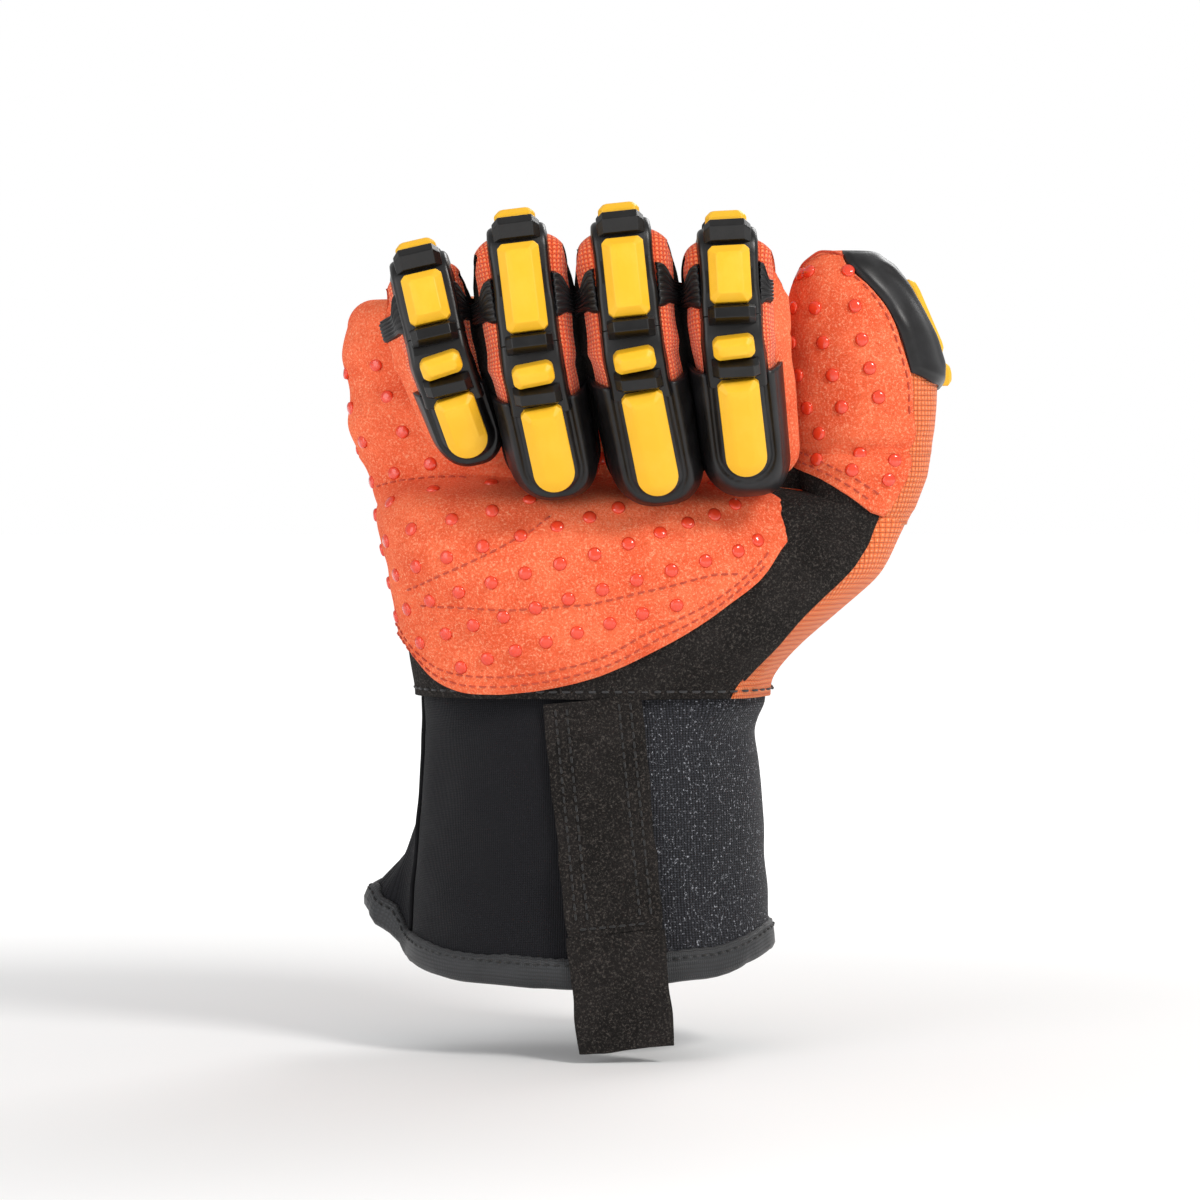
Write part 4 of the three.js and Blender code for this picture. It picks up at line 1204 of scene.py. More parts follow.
def patch_point(angle, z, extra=0.0):
    """Point and normal on the patch's face."""
    angle, z = np.asarray(angle, float), np.asarray(z, float)
    offset = PATCH_OFFSET + patch_relief(angle, z) + extra
    return HAND.points(angle, z, offset), HAND.normals(angle, z)


PATCH_OFFSET = 1.9


def build_patch():
    share = np.linspace(0, 1, 190)
    low = patch_bottom(share)
    top = 90.0
    rows = np.linspace(0, 1, 120)[:, None]
    Z = low + (top + 2 - low) * rows
    A = patch_angle(share, Z)
    rim = np.exp(-(rows * (top - low) / 0.8) ** 2) + np.exp(-((share - 1) * 160 / 0.9) ** 2)
    points = HAND.points(A, Z, PATCH_OFFSET + patch_relief(A, Z) - 0.5 * rim)
    roof = np.linspace(0, 1, 12)[1:]
    for step in roof:
        turn = step * math.pi / 2
        row = points[-1 if step == roof[0] else 119].copy()
        inward = HAND.normals(A[-1], Z[-1])
        row = points[119] - inward * 7 * (1 - math.cos(turn)) + np.array([0, 0, 7]) * math.sin(turn)
        points = np.vstack([points, row[None]])
    A = np.vstack([A, np.repeat(A[-1:], 11, 0)])
    Z = np.vstack([Z, Z[-1:] + roof[:, None] * 11])
    obj = grid("palm_patch_suede", points, np.stack([HAND.arc(A, 30), Z], -1), [ORANGE_SUEDE])
    thicken(obj, 1.3)
    soften_edges(obj, 0.4, 2)
    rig.replaces(obj, "palm_patch")
    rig.slot(obj, "orange_suede")
    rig.ride(obj, "hand")

    seams = []
    for inset, pitch in ((2.2, 2.65), (4.6, 2.65)):
        edge_share = np.linspace(0.06, 0.985, 160)
        z = patch_bottom(edge_share) + inset
        centre, normal = patch_point(patch_angle(edge_share, z), z, 0.12)
        seams += stitch_row(centre, normal, pitch)
    for line in PATCH_SEAMS:
        centre, normal = patch_line(line)
        seams += stitch_row(centre, normal, 2.65)
    body_object("palm_patch_stitches", seams, ORANGE_THREAD, "orange_suede", "hand")


PATCH_SEAMS = (
    ((-43.5, 27.5), (-36, 31), (-25, 36), (-14, 41), (-9.5, 45)),
    ((-40.5, 24.0), (-20, 23), (0, 24.5), (18, 28.5), (30, 31.5), (38, 31.5)),
    ((-53, 52), (-46, 53.2), (-38, 53.5), (-30, 53)),
)


def patch_line(corners):
    """Stitch line through (x, z) points seen from the front."""
    corners = np.array(corners, float)
    along = np.linspace(0, len(corners) - 1, 60)
    x = np.interp(along, range(len(corners)), corners[:, 0])
    z = np.interp(along, range(len(corners)), corners[:, 1])
    angle = np.array([HAND.angle_of(a, b, 181, 340) for a, b in zip(x, z)])
    return patch_point(angle, z, 0.12)


def dot_grid(rows, columns, spacing, tilt):
    """Square lattice turned by tilt degrees, round (0, 0)."""
    turn = math.radians(tilt)
    lattice = []
    for i in range(-rows, rows + 1):
        for j in range(-columns, columns + 1):
            lattice.append((spacing * (i * math.cos(turn) - j * math.sin(turn)),
                            spacing * (i * math.sin(turn) + j * math.cos(turn))))
    return lattice


DOT_SPACING = 8.5
DOT_RADIUS = 1.7
DOT_HEIGHT = 0.75


def build_patch_dots():
    dots = []
    origin = HAND.arc(250, 30)
    for u, v in dot_grid(14, 14, DOT_SPACING, 15):
        angle, z = HAND.angle_at_arc(origin + u, 30), 34.0 + v
        share = (angle - PATCH_LEFT) / (np.interp(z, PATCH_HEIGHTS, PATCH_RIGHT_ANGLES) - PATCH_LEFT)
        if not 0.02 < share < 0.97 or z > 88 or z < patch_bottom(np.array([share]))[0] + 6.2:
            continue
        centre, normal = patch_point(np.array([angle]), np.array([z]))
        dots.append(dome_body(centre[0], normal[0], DOT_RADIUS, DOT_HEIGHT))
    body_object("palm_patch_dots", dots, DOTS, "orange_suede", "hand")


build_patch()
build_patch_dots()


# ---------- back of the hand ----------

BACK_GUARD_OUTLINE = [(-26, 34), (20, 34), (33, 52), (37, 87), (24, 91), (-10, 91), (-30, 88), (-41, 81), (-39, 56)]
BACK_PAD_OUTLINE = [(-18, 42), (14, 42), (24, 56), (28, 80), (-32, 80), (-30, 60)]


def rounded_outline(corners, radius, steps=6):
    """Closed outline with its corners rounded by arcs, as (x, z) points."""
    corners = np.array(corners, float)
    points = []
    for i, corner in enumerate(corners):
        before = unit(corners[i - 1] - corner)
        after = unit(corners[(i + 1) % len(corners)] - corner)
        for t in np.linspace(0, 1, steps):
            a, b = corner + before * radius * (1 - t), corner + after * radius * t
            points.append(a * (1 - t) + b * t)
    return np.array(points)


def ring_fill(rings):
    """Quads between nested outlines and a fan of triangles in the middle."""
    count = len(rings[0])
    verts = np.vstack(rings + [rings[-1].mean(axis=0, keepdims=True)])
    faces = []
    for r in range(len(rings) - 1):
        for i in range(count):
            j = (i + 1) % count
            faces.append((r * count + i, r * count + j, (r + 1) * count + j, (r + 1) * count + i))
    base = (len(rings) - 1) * count
    faces += [(base + i, base + (i + 1) % count, len(verts) - 1) for i in range(count)]
    return verts, faces


def shrink_outline(outline, share):
    middle = outline.mean(axis=0)
    return middle + (outline - middle) * share


def back_surface(points, offset):
    """Points of the back of the hand behind (x, z) positions."""
    skin = []
    for x, z in points:
        angle = HAND.angle_of(x, min(z, 92), 178, 12)
        skin.append(HAND.points(np.array([angle]), np.array([min(z, 92.0)]), np.array([offset]))[0] + (0, 0, max(z - 92, 0)))
    return np.array(skin)


def build_back_guard():
    outline = rounded_outline(BACK_GUARD_OUTLINE, 6)
    stages = [(1.0, 0.2), (1.0, 1.6), (0.985, 2.3), (0.97, 2.5), (0.93, 2.5), (0.92, 2.0), (0.9, 2.0), (0.89, 2.5)]
    stages += [(share, 2.5) for share in (0.8, 0.65, 0.5, 0.35, 0.2, 0.08)]
    rings = [back_surface(shrink_outline(outline, share), lift) for share, lift in stages]
    verts, faces = ring_fill(rings)
    obj = new_object("back_guard_moulding", verts, faces, [BLACK_RUBBER])
    weld(obj)
    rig.replaces(obj, "back_guard")
    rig.slot(obj, "black_rubber")
    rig.ride(obj, "hand")

    flat = node_points("back_pad")[:, 1].max()
    outline = rounded_outline(BACK_PAD_OUTLINE, 5)
    rings = [back_surface(shrink_outline(outline, 1.0), 2.2)]
    for share, depth in ((1.0, 1.3), (0.985, 0.5), (0.96, 0.0), (0.7, 0.0), (0.4, 0.0), (0.1, 0.0)):
        ring = shrink_outline(outline, share)
        rings.append(np.stack([ring[:, 0], np.full(len(ring), flat - depth), ring[:, 1]], -1))
    verts, faces = ring_fill(rings)
    obj = new_object("back_pad_moulding", verts, faces, [YELLOW_RUBBER])
    weld(obj)
    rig.replaces(obj, "back_pad")
    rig.slot(obj, "yellow_rubber")
    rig.ride(obj, "hand")


build_back_guard()


# ---------- thumb ----------

THUMB_CENTRES = [(40, 65.5, -5.5), (46, 65.7, -5.5), (55, 67.2, -5.3), (66, 67.8, -5.5), (80, 67.6, -6),
                 (92, 65.5, -6.5), (101, 63.7, -6.5), (107, 62.5, -6.7), (112, 62.5, -6.3)]
THUMB = Shell(("thumb_base_sleeve", "thumb_tip_sleeve"), THUMB_CENTRES, 46.5, 109, 1, step=1.25, gap=(57, 72))
THUMB_SUEDE_EDGE = np.array([(40, 70), (46, 72.5), (50, 75.2), (56, 78), (66, 79.3), (78, 79), (90, 75.5),
                             (98, 71.5), (104, 65.5), (110, 60)], float)
THUMB_LEFT = 150.0
THUMB_FOLD = 61.5


def thumb_suede_angle(z):
    z = np.atleast_1d(np.asarray(z, float))
    x = np.interp(z, THUMB_SUEDE_EDGE[:, 0], THUMB_SUEDE_EDGE[:, 1])
    reach = THUMB.bare(np.full(z.shape, 352.0), z)[:, 0] - 0.4
    return np.array([THUMB.angle_of(min(a, b), c, 265, 362) for a, b, c in zip(x, reach, z)])


THUMB_HEIGHTS = np.linspace(40, 109, 47)
THUMB_SEAM = np.convolve(np.pad(thumb_suede_angle(THUMB_HEIGHTS), 2, mode="edge"), np.ones(5) / 5, "valid")


def thumb_relief(angle, z):
    front = np.exp(-((angle - 275) / 60) ** 2)
    arc = THUMB.arc(angle, 75)
    fold = 1.5 * np.exp(-((z - THUMB_FOLD - 4.5) / 3.2) ** 2) * front
    tuck = -1.8 * np.exp(-((z - THUMB_FOLD) / 1.6) ** 2) * front
    under = 1.0 * np.exp(-((z - THUMB_FOLD + 4.5) / 2.6) ** 2) * front
    base = -1.6 * smoothstep(-z, -47.5, -43)
    return fold + tuck + under + base + 0.5 * noise(arc, z, 11.0) + 0.2 * noise(arc + 9, z, 4.0)


def thumb_grid(name, angles, heights, offset, material, slot, closed_top, thickness=1.2):
    """Panel of the thumb; above 108.5 mm its rows close over the tip."""
    A = np.array(angles)
    Z = np.array(heights)
    flat = np.minimum(Z, 108.5)
    past = np.clip((Z - 108.5) / 3.5, 0, 1) * closed_top
    skin = THUMB.points(A, flat, offset + thumb_relief(A, flat))
    x, y = THUMB.centre(flat)
    middle = np.stack([x, y, np.full(x.shape, 111.0)], -1)
    turn = (past * math.pi / 2)[..., None]
    points = np.where(past[..., None] > 0,
                      middle + (skin - middle) * np.array([1, 1, 0]) * np.cos(turn)
                      + (skin[..., 2:] - 111.0) * np.array([0, 0, 1]) * (1 - np.sin(turn)), skin)
    obj = grid(name, points, np.stack([THUMB.arc(A, 75), Z], -1), [material])
    weld(obj)
    face_outwards(obj)
    thicken(obj, thickness)
    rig.slot(obj, slot)
    return obj


def face_outwards(obj):
    """Turns a thumb panel's faces away from the middle of the thumb."""
    axis = Vector(place((65.5, -6, 0)))
    outward = sum(polygon.normal.xy.dot(polygon.center.xy - axis.xy) for polygon in obj.data.polygons)
    if outward < 0:
        obj.data.flip_normals()


def thumb_span(left, right, low, high, columns, rows):
    """Grids of angle and height between edge functions; low is one height for each column."""
    share = np.linspace(0, 1, columns)
    low = np.broadcast_to(low, (columns,))
    Z = low + (high - low) * np.linspace(0, 1, rows)[:, None]
    L = left(Z)
    return L + (right(Z) - L) * share, Z


def thumb_ends(joint):
    centre = joint_point(joint)
    if joint == "thumb_joint":
        return place(centre + (0, 0, -6.5)), place(centre + (0, 0, 4.5))
    return place((66, -6, 42)), place((66, -6, 53))


def build_thumb():
    seam = lambda z: np.interp(z, THUMB_HEIGHTS, THUMB_SEAM)
    left = lambda z: np.full(np.shape(z), THUMB_LEFT)
    back = lambda z: np.full(np.shape(z), THUMB_LEFT + 1.0)

    share = np.linspace(0, 1, 90)
    x = THUMB.bare(THUMB_LEFT + (seam(52) - THUMB_LEFT) * share, np.full(90, 52.0))[:, 0]
    lower = np.interp(x, [51, 60, 72, 78], [57.5, 52.5, 46.2, 44.5])
    parts = []
    A, Z = thumb_span(left, seam, lower, 63.5, 90, 26)
    parts.append(("thumb_base_suede", A, Z, 1.0, ORANGE_SUEDE, "orange_suede", "base", "thumb_base_sleeve"))
    A, Z = thumb_span(left, seam, 43.0, 60.0, 60, 18)
    parts.append(("thumb_base_lining", A, Z, 0.0, BLACK_SUEDE, "black_suede", "base", None))
    A, Z = thumb_span(lambda z: seam(z) - 361, back, 43.0, 64.0, 70, 22)
    parts.append(("thumb_base_woven", A, Z, 0.1, WOVEN, "woven_back", "base", None))
    A, Z = thumb_span(left, seam, THUMB_FOLD - 1.0, 112.0, 90, 70)
    parts.append(("thumb_tip_suede", A, Z, 1.0, ORANGE_SUEDE, "orange_suede", "tip", "thumb_tip_sleeve"))
    A, Z = thumb_span(lambda z: seam(z) - 361, back, THUMB_FOLD - 1.0, 112.0, 80, 66)
    parts.append(("thumb_tip_woven", A, Z, 0.2, WOVEN, "woven_back", "tip", None))
    for name, A, Z, offset, material, slot, where, node in parts:
        obj = thumb_grid(name, A, Z, offset, material, slot, 1.0 if where == "tip" else 0.0)
        if node:
            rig.replaces(obj, node)
        joint = "thumb_joint" if where == "tip" else "thumb_base_swing"
        bodies = ("thumb_base", "thumb_tip") if where == "tip" else ("hand", "thumb_base")
        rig.blend(obj, *bodies, *thumb_ends(joint))

    stitches = []
    for inset in (2.0, 4.2):
        along = share[8:80]
        z = np.interp(along, share, lower) + inset
        angle = THUMB_LEFT + (seam(z) - THUMB_LEFT) * along
        keep = angle > 200
        stitches += stitch_row(THUMB.points(angle, z, 1.1 + thumb_relief(angle, z))[keep],
                               THUMB.normals(angle, z)[keep])
    obj = body_object("thumb_base_stitches", stitches, ORANGE_THREAD, "orange_suede", None)
    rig.blend(obj, "hand", "thumb_base", *thumb_ends("thumb_base_swing"))

    z = np.linspace(THUMB_FOLD + 8, 104, 80)
    angle = seam(z) - 4
    hem = stitch_row(THUMB.points(angle, z, 1.1 + thumb_relief(angle, z)), THUMB.normals(angle, z), 3.0)
    body_object("thumb_tip_stitches", hem, ORANGE_THREAD, "orange_suede", "thumb_tip")


def thumb_dots(name, spots, body):
    dots = []
    for x, z in spots:
        angle = np.array([THUMB.angle_of(x, z, 205, 345)])
        height = np.array([float(z)])
        centre = THUMB.points(angle, height, 1.15 + thumb_relief(angle, height))[0]
        dots.append(dome_body(centre, THUMB.normals(angle, height)[0], DOT_RADIUS, DOT_HEIGHT))
    return body_object(name, dots, DOTS, "orange_suede", body)


THUMB_TIP_DOTS = [
    (48.9, 104.6), (54.7, 105), (63.4, 105), (49.2, 96.4), (55.9, 96.2), (64.9, 96.6), (50.4, 87.9), (57.6, 87.9),
    (66.6, 88.6), (52.2, 79.9), (59.8, 79.9), (68.5, 81.6), (54.2, 71.9), (62, 72.1), (70.7, 74.5), (57, 65.6),
]
THUMB_BASE_DOTS = [(66.3, 60.6), (74.4, 59), (64.4, 56.6), (72.9, 54.3), (56.4, 59.2)]


def smooth_inside(obj, passes):
    """Relaxes a panel's surface and keeps its border."""
    mesh = bmesh.new()
    mesh.from_mesh(obj.data)
    inside = [vert for vert in mesh.verts if not vert.is_boundary]
    for _ in range(passes):
        bmesh.ops.smooth_vert(mesh, verts=inside, factor=0.5, use_axis_x=True, use_axis_y=True, use_axis_z=True)
    mesh.to_mesh(obj.data)
    mesh.free()
    obj.data.update()


def build_thumb_guard():
    """Moulded guard round the thumb's outer side, with its small pads."""
    columns = 80
    share = np.linspace(0, 1, columns)
    low = np.interp(share, [0, 0.12, 0.4, 0.7, 1], [80.5, 78, 76, 76, 82])
    seam = lambda z: np.interp(z, THUMB_HEIGHTS, THUMB_SEAM) - 359.0
    A, Z = thumb_span(seam, lambda z: np.full(np.shape(z), 122.0), low, 112.0, columns, 60)
    rows = (Z - low) / (112.0 - low)
    edge = smoothstep(rows, 0, 0.04) * smoothstep(share, 0, 0.035) * (1 - smoothstep(share, 0.965, 1))
    step = smoothstep(share, 0.2, 0.24) * (1 - smoothstep(share, 0.9, 0.94)) * smoothstep(rows, 0.1, 0.13)
    obj = thumb_grid("thumb_guard_moulding", A, Z, 0.9 + 1.3 * edge + 0.8 * step * (Z < 106), CAP_RUBBER,
                     "black_rubber", 1.0, 1.0)
    smooth_inside(obj, 7)
    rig.replaces(obj, "thumb_guard")
    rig.ride(obj, "thumb_tip")

    bodies = []
    for low, high in ((77.5, 82.0), (84.0, 101.5)):
        rings = []
        for inset, lift in ((0, 2.2), (0, 4.2), (1.2, 5.4), (2.6, 5.6)):
            outline = rounded_outline([(52, low), (14, low), (14, high), (52, high)], 2.0, 4)
            ring = shrink_outline(outline, 1)
            ring[:, 0] = 33 + (ring[:, 0] - 33) * (1 - inset / 9)
            ring[:, 1] = (low + high) / 2 + (ring[:, 1] - (low + high) / 2) * (1 - inset / (high - low) * 1.6)
            rings.append(THUMB.points(ring[:, 0], ring[:, 1], np.full(len(ring), lift)))
        bodies.append(ring_stack(rings))
    obj = body_object("thumb_pad_moulding", bodies, YELLOW_RUBBER, "yellow_rubber", "thumb_tip")
    soften_edges(obj, 0.3)
    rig.replaces(obj, "thumb_pad")


def loose_thread():
    """Loop of sewing thread left at the top of the thumb."""
    corners = np.array([(50.5, -9, 103), (52.5, -11, 107.5), (56.5, -12, 110.6), (60.5, -13, 110.4),
                        (64, -14, 108.6), (66, -13, 106.5)])
    along = np.linspace(0, len(corners) - 1, 40)
    curve = np.stack([np.interp(along, range(len(corners)), corners[:, i]) for i in range(3)], -1)
    for _ in range(4):
        curve[1:-1] = (curve[:-2] + 2 * curve[1:-1] + curve[2:]) / 4
    body_object("loose_thread", [cord(curve, 0.32)], ORANGE_THREAD, "orange_suede", "thumb_tip")


build_thumb()
loose_thread()
thumb_dots("thumb_tip_dots", THUMB_TIP_DOTS, "thumb_tip")
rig.blend(thumb_dots("thumb_base_dots", THUMB_BASE_DOTS, None), "hand", "thumb_base", *thumb_ends("thumb_base_swing"))
build_thumb_guard()


# ---------- cuff ----------

CUFF = Shell(("cuff_front_panel", "cuff_side_panel", "cuff_back_panel"), [(-75, 0, 0), (5, 0, 0)],
             -72, 0, 1, sharp=(150, 178))
CUFF_SEAMS = (182.0, 286.0, 375.0)
CUFF_TOP = 3.0
CUFF_TUCK = 1.6
CUFF_BEND = place((0, 0, 1)), place((0, 0, -22))
HEM_WIDTH = 7.0


def hem_heights():
    """Height of the hem's lower edge at every angle, from the CAD binding."""
    points = node_points("hem_binding")
    angles = np.degrees(np.arctan2(points[:, 1], points[:, 0])) % 360
    centres = np.arange(0, 360, 5)
    lows = [points[np.abs((angles - c + 180) % 360 - 180) < 4][:, 2].min() for c in centres]
    return np.append(centres, 360), np.append(lows, lows[0])


HEM_ANGLES, HEM_LOWS = hem_heights()


def hem(angle):
    return np.interp(np.asarray(angle) % 360, HEM_ANGLES, HEM_LOWS)


def cuff_relief(angle, z):
    arc = CUFF.arc(angle, -30)
    pull = 0.9 * np.sin((z + 0.22 * arc) / 5.5) * np.exp(-((angle - 325) / 24) ** 2) * smoothstep(z, -45, -12)
    return (0.9 * noise(arc, z, 24.0) + 0.3 * noise(arc + 5, z, 8.0) + pull) * smoothstep(-z, 2, 12)


def cuff_point(angle, z, offset=0.0):
    """Cuff skin; above the wrist seam it tucks in under the hand."""
    inside = np.clip(z, -71, -0.5)
    points = CUFF.points(angle, inside, offset + cuff_relief(angle, z))
    hand = HAND.bare(angle, np.full(np.shape(angle), 1.5))
    cuff_radius = np.hypot(points[..., 0], points[..., 1])
    hand_radius = np.hypot(hand[..., 0], hand[..., 1]) - CUFF_TUCK
    blend = smoothstep(z, -9, 0)
    radius = cuff_radius + (np.minimum(hand_radius, cuff_radius + 4) - cuff_radius) * blend
    points[..., :2] *= (radius / cuff_radius)[..., None]
    points[..., 2] = z
    return points


def cuff_panel(name, node, start, end, offset, material, slot):
    columns = int((end - start) * 0.75 / 1.1)
    angle = np.linspace(start, end, columns)
    rows = np.linspace(0, 1, 66)[:, None]
    low = hem(angle) + 2.0
    Z = CUFF_TOP + (low - CUFF_TOP) * rows
    A = np.broadcast_to(angle, Z.shape)
    rim = np.exp(-((A - start) / 1.2) ** 2) + np.exp(-((A - end) / 1.2) ** 2)
    points = cuff_point(A, Z, offset - 0.7 * rim)
    obj = grid(name, points, np.stack([CUFF.arc(A, -30), Z], -1), [material], flip=True)
    thicken(obj, 1.8)
    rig.replaces(obj, node)
    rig.slot(obj, slot)
    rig.blend(obj, "hand", "cuff", *CUFF_BEND)


def hem_tape():
    """Folded binding round the hem with its row of stitches."""
    angle = np.linspace(0, 360, 300, endpoint=False)
    profile = [(-2.6, HEM_WIDTH - 0.6), (-2.9, 3.0), (-2.2, 0.5), (-0.8, -0.35), (0.5, 0.2), (1.15, 1.4), (1.2, 3.4),
               (1.15, 5.6), (0.95, HEM_WIDTH), (0.3, HEM_WIDTH + 0.25), (-0.4, HEM_WIDTH)]
    wave = 0.35 * noise(angle, angle * 0, 9.0) + 0.12 * np.sin(angle * 1.3)
    rows = []
    for out, up in profile:
        swell = 1 + 0.25 * noise(angle, angle * 0 + up, 5.0)
        rows.append(cuff_point(angle, hem(angle) + up + wave * (up > 5), out * swell + 0.25))
    points = np.array(rows + rows[:1])
    points = np.concatenate([points, points[:, :1]], 1)
    uv = np.stack([np.broadcast_to(np.append(CUFF.arc(angle, -30), 262), points.shape[:2]),
                   np.broadcast_to(np.arange(len(points))[:, None] * 1.6, points.shape[:2])], -1)
    obj = grid("hem_tape", points, uv, [BINDING])
    weld(obj)
    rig.replaces(obj, "hem_binding")
    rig.slot(obj, "hem_binding")
    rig.ride(obj, "cuff")
    fine = np.linspace(0, 360, 700)
    row = stitch_row(cuff_point(fine, hem(fine) + HEM_WIDTH - 1.3, 1.45), CUFF.normals(fine, hem(fine) + 7), 2.5, 0.7, 0.3)
    body_object("hem_stitches", row, BLACK_THREAD, "hem_binding", "cuff")


def cuff_seams():
    bodies = []
    for angle in CUFF_SEAMS:
        z = np.linspace(1.5, hem(angle) + HEM_WIDTH, 50)
        bodies.append(cord(cuff_point(np.full(50, angle), z, 0.1), 0.7))
    obj = body_object("cuff_seam_cords", bodies, NEOPRENE, "neoprene", None)
    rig.blend(obj, "hand", "cuff", *CUFF_BEND)


def wrist_stitches():
    angle = np.linspace(0, 360, 500)
    z = np.full(500, 2.6)
    row = stitch_row(HAND.points(angle, z, 0.62 + 0.0 * angle), HAND.normals(angle, z), 3.2, 0.62, 0.3)
    body_object("wrist_stitches", row, GREY_THREAD, "black_suede", "hand")


class Strap:
    """Flat frame of a strap node: centre, down and across directions, and outward normal."""

    def __init__(self, node):
        points = node_points(node)
        self.centre = (points.min(axis=0) + points.max(axis=0)) / 2
        values, vectors = np.linalg.eigh(np.cov((points - points.mean(axis=0)).T))
        self.down = vectors[:, 2] if vectors[2, 2] < 0 else -vectors[:, 2]
        self.across = vectors[:, 1] if vectors[0, 1] > 0 else -vectors[:, 1]
        self.normal = np.cross(self.across, self.down)
        if self.normal[1] > 0:
            self.normal = -self.normal
        offset = points - self.centre
        self.half = np.abs(offset @ self.across).max()
        self.length = np.abs(offset @ self.down).max()
        self.front = (offset @ self.normal).max()

    def point(self, across, down, height):
        across, down, height = np.broadcast_arrays(*(np.asarray(v, float) for v in (across, down, height)))
        return (self.centre + across[..., None] * self.across + down[..., None] * self.down
                + (self.front + height)[..., None] * self.normal)


def drape(points, lift):
    """Moves strap points onto the cuff's front, easing off towards the hem."""
    shape = points.shape
    flat = points.reshape(-1, 3).copy()
    heights = np.linspace(-62, 3, 40)
    turn = np.linspace(215, 325, 111)
    table = np.array([cuff_point(turn, np.full(turn.shape, z)) for z in heights])
    front = np.array([np.interp(np.linspace(-28, 28, 57), row[:, 0], row[:, 1]) for row in table])
    for i, (x, y, z) in enumerate(flat):
        row = np.clip((z - heights[0]) / (heights[1] - heights[0]), 0, len(heights) - 1.001)
        column = np.clip(x + 28, 0, 55.999)
        r, c = int(row), int(column)
        fr, fc = row - r, column - c
        surface = ((front[r, c] * (1 - fc) + front[r, c + 1] * fc) * (1 - fr)
                   + (front[r + 1, c] * (1 - fc) + front[r + 1, c + 1] * fc) * fr)
        share = float(smoothstep(z, -54, -30))
        flat[i, 1] = y + (surface - lift.ravel()[i] - y) * share
    return flat.reshape(shape)


def strap_sheet(name, strap, start, end, thickness, relief, draped=False):
    """Soft rectangular strap with slightly uneven cut edges."""
    columns, rows = 34, int((end - start) / 0.9)
    U, V = np.meshgrid(np.linspace(-1, 1, columns), np.linspace(start, end, rows))
    half = strap.half + 0.3 * noise(V, U * 0, 6.0) - 0.25 * smoothstep(V, end - 3, end)
    edge = smoothstep(1 - np.abs(U), 0, 0.07)
    height = relief(U, V) - 0.5 * (1 - edge)
    uneven = 0.35 * noise(U * 10, V * 0 + 3, 4.0) * smoothstep(V, end - 2, end)
    points = strap.point(U * half, V + uneven, height)
    if draped:
        points = drape(points, 2.2 + height)
    obj = grid(name, points, np.stack([U * half, V], -1), [BLACK_SUEDE])
    thicken(obj, thickness, 1 if strap_faces_in(obj, strap) else -1)
    soften_edges(obj, 0.35, 2)
    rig.slot(obj, "black_suede")
    return obj


def strap_faces_in(obj, strap):
    return np.dot(np.array(obj.data.polygons[len(obj.data.polygons) // 2].normal), strap.normal) < 0


STRAP_STITCHES = (-9.2, -6.4, 6.4, 9.2)


def build_strap():
    root = Strap("pull_tab_root")
    quilt = lambda u, v: 0.35 * (1 - np.abs(np.clip(np.abs(u) / 0.53, 0, 1)) ** 4) + 0.3 * noise(u * 9, v, 9.0)
    top = -root.length - 10.5
    sheet = strap_sheet("pull_tab_root_suede", root, top, root.length + 0.2, 1.8, quilt, True)
    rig.replaces(sheet, "pull_tab_root")
    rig.blend(sheet, "hand", "cuff", *CUFF_BEND)

    rows = []
    down = np.linspace(top + 1, root.length - 1.5, 90)
    normals = np.repeat(root.normal[None], 90, 0)
    for across in STRAP_STITCHES:
        lift = quilt(np.full(90, across / root.half), down) + 0.15
        rows += stitch_row(drape(root.point(across, down, lift), 2.2 + lift), normals, 2.4, 0.66, 0.27)
    across = np.linspace(-9.2, 9.2, 40)
    line = root.point(across, root.length - 1.5, quilt(across / root.half, np.full(40, root.length - 1.5)) + 0.15)
    rows += stitch_row(line, np.repeat(root.normal[None], 40, 0), 2.4, 0.66, 0.27)
    stitches = body_object("pull_tab_stitches", rows, BLACK_THREAD, "black_suede", None)
    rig.blend(stitches, "hand", "cuff", *CUFF_BEND)

    tab = Strap("pull_tab")
    sag = lambda u, v: 0.9 * noise(u * 9, v, 13.0) * smoothstep(v, -tab.length, 0) - 0.25 * u * u
    sheet = strap_sheet("pull_tab_suede", tab, -tab.length - 0.4, tab.length, 1.6, sag)
    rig.replaces(sheet, "pull_tab")
    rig.ride(sheet, "tab")


cuff_panel("cuff_front_fabric", "cuff_front_panel", 182, 286, 0.0, NEOPRENE, "neoprene")
cuff_panel("cuff_side_fabric", "cuff_side_panel", 286, 375, 0.3, CUFF_KNIT, "cuff_knit")
cuff_panel("cuff_back_fabric", "cuff_back_panel", 15, 182, 0.0, NEOPRENE, "neoprene")
hem_tape()
cuff_seams()
wrist_stitches()
build_strap()


# ---------- floor, light and camera ----------

def stage_material(name, colour, roughness):
    """Pale floor that fades into the white backdrop away from the glove."""
    m = Nodes(name, roughness, colour)
    vector = m.object_coordinates()
    uneven = m.noise(vector, 3.0, 2.0)
    away = m.add("ShaderNodeVectorMath", Vector=vector)
    away.operation = "LENGTH"
    fade = m.ramp(away.outputs["Value"], 0.12, 0.75)
    m.set(Base_Color=m.mix(uneven, tuple(c * 0.985 for c in colour), colour), Specular_IOR_Level=0.1)
    m.set(Emission_Color=(1, 1, 1, 1), Emission_Strength=m.math("MULTIPLY", fade, 0.55))
    return m.material


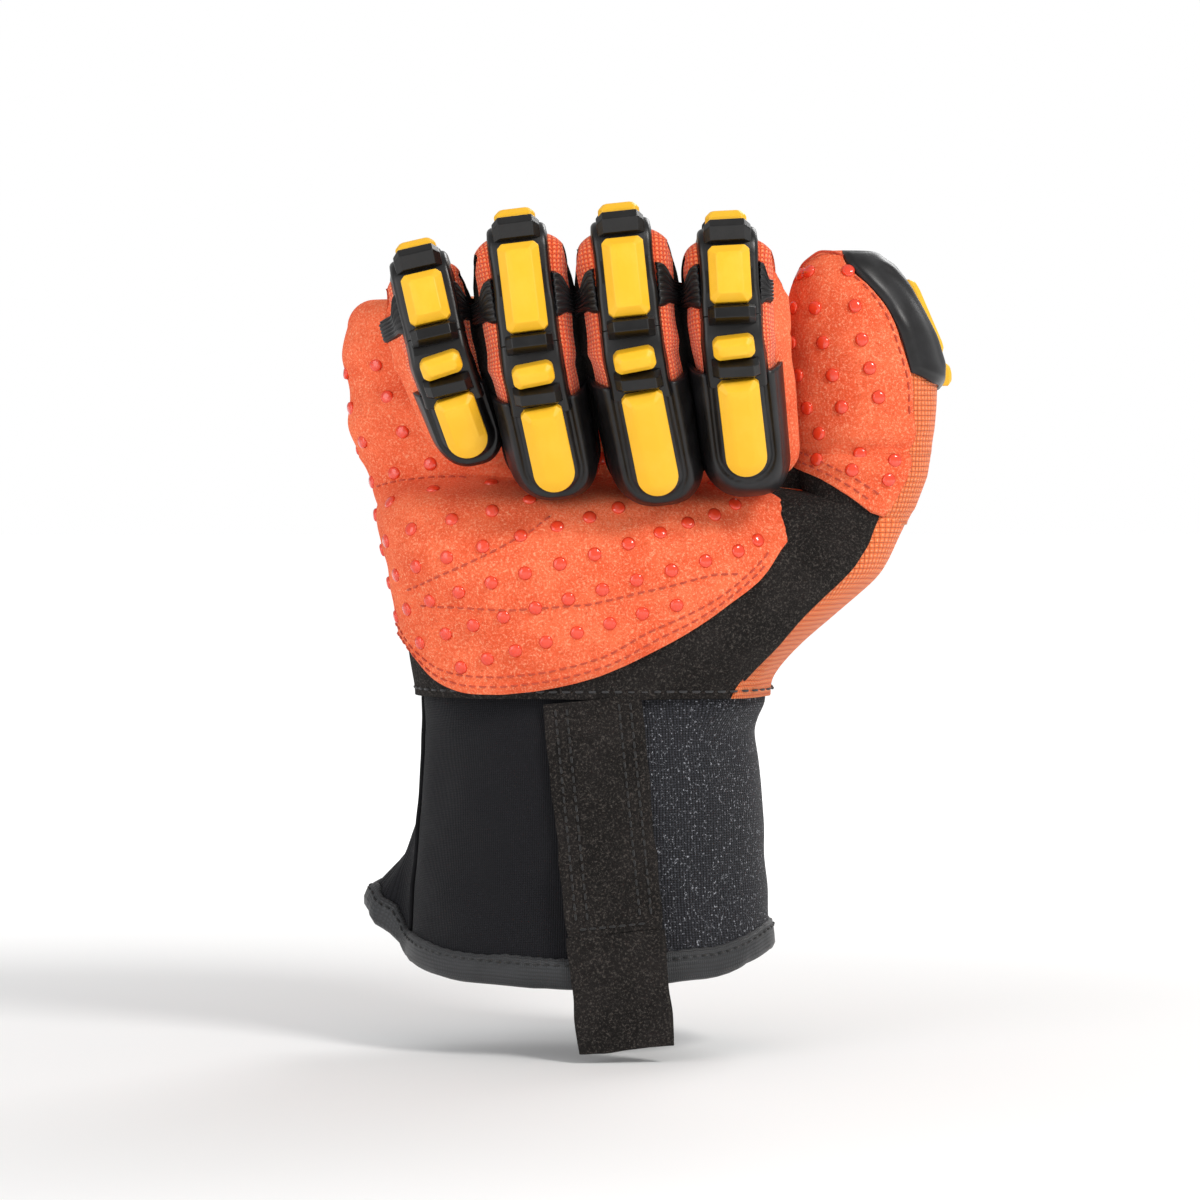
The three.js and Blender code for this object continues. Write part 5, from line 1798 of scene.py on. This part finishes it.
def area_light(name, position, target, size, power, colour=(1, 1, 1)):
    lamp = bpy.data.lights.new(name, "AREA")
    lamp.shape = "DISK"
    lamp.size = size
    lamp.energy = power
    lamp.color = colour
    obj = bpy.data.objects.new(name, lamp)
    obj.location = position
    obj.rotation_euler = (Vector(target) - Vector(position)).to_track_quat("-Z", "Y").to_euler()
    bpy.context.scene.collection.objects.link(obj)
    return obj


def build_stage():
    floor = bpy.data.objects.new("studio_floor", bpy.data.meshes.new("studio_floor"))
    corner = 6.0
    floor.data.from_pydata(
        [(-corner, -corner, -0.002), (corner, -corner, -0.002), (corner, corner, -0.002), (-corner, corner, -0.002)],
        [], [(0, 1, 2, 3)])
    floor.data.materials.append(stage_material("pale floor", (0.9, 0.9, 0.9), 0.7))
    bpy.context.scene.collection.objects.link(floor)
    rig.stage(floor)

    world = bpy.data.worlds.new("studio")
    world.use_nodes = True
    background = world.node_tree.nodes["Background"]
    background.inputs["Color"].default_value = (1, 1, 1, 1)
    seen = world.node_tree.nodes.new("ShaderNodeLightPath").outputs["Is Camera Ray"]
    strength = world.node_tree.nodes.new("ShaderNodeMapRange")
    strength.inputs["To Min"].default_value = WORLD_LIGHT
    strength.inputs["To Max"].default_value = WORLD_BACKDROP
    world.node_tree.links.new(seen, strength.inputs["Value"])
    world.node_tree.links.new(strength.outputs["Result"], background.inputs["Strength"])
    bpy.context.scene.world = world
    bpy.context.scene.view_settings.view_transform = "Standard"

    centre = (0.0, 0.0, 0.11)
    area_light("key", (0.75, -0.75, 0.95), centre, 0.4, 9.5, (1, 0.985, 0.96))
    area_light("fill", (-0.9, -0.8, 0.4), centre, 0.9, 4.5, (0.97, 0.98, 1))
    area_light("rim", (0.5, 0.9, 0.8), centre, 0.6, 5.0)


def build_camera():
    aim = place([CAMERA_AIM])[0]
    elevation = math.radians(CAMERA_ELEVATION)
    camera = bpy.data.cameras.new("photo_view")
    camera.lens = CAMERA_LENS
    camera.sensor_width = 36
    camera.clip_end = 20
    obj = bpy.data.objects.new("photo_view", camera)
    obj.location = Vector(aim) + Vector((0, -math.cos(elevation), math.sin(elevation))) * CAMERA_DISTANCE / MM
    obj.rotation_euler = (math.pi / 2 - elevation, 0, 0)
    bpy.context.scene.collection.objects.link(obj)
    bpy.context.scene.camera = obj


WORLD_LIGHT = 0.55
WORLD_BACKDROP = 1.0
CAMERA_AIM = (2.5, 0.0, 24.0)
CAMERA_ELEVATION = 2.0
CAMERA_DISTANCE = 1200.0
CAMERA_LENS = 144.0

build_stage()
build_camera()

with open("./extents.json", "w") as file:
    json.dump({"cad": CAD_BOUNDS, "visual": [list(corner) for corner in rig.bounds()]}, file)
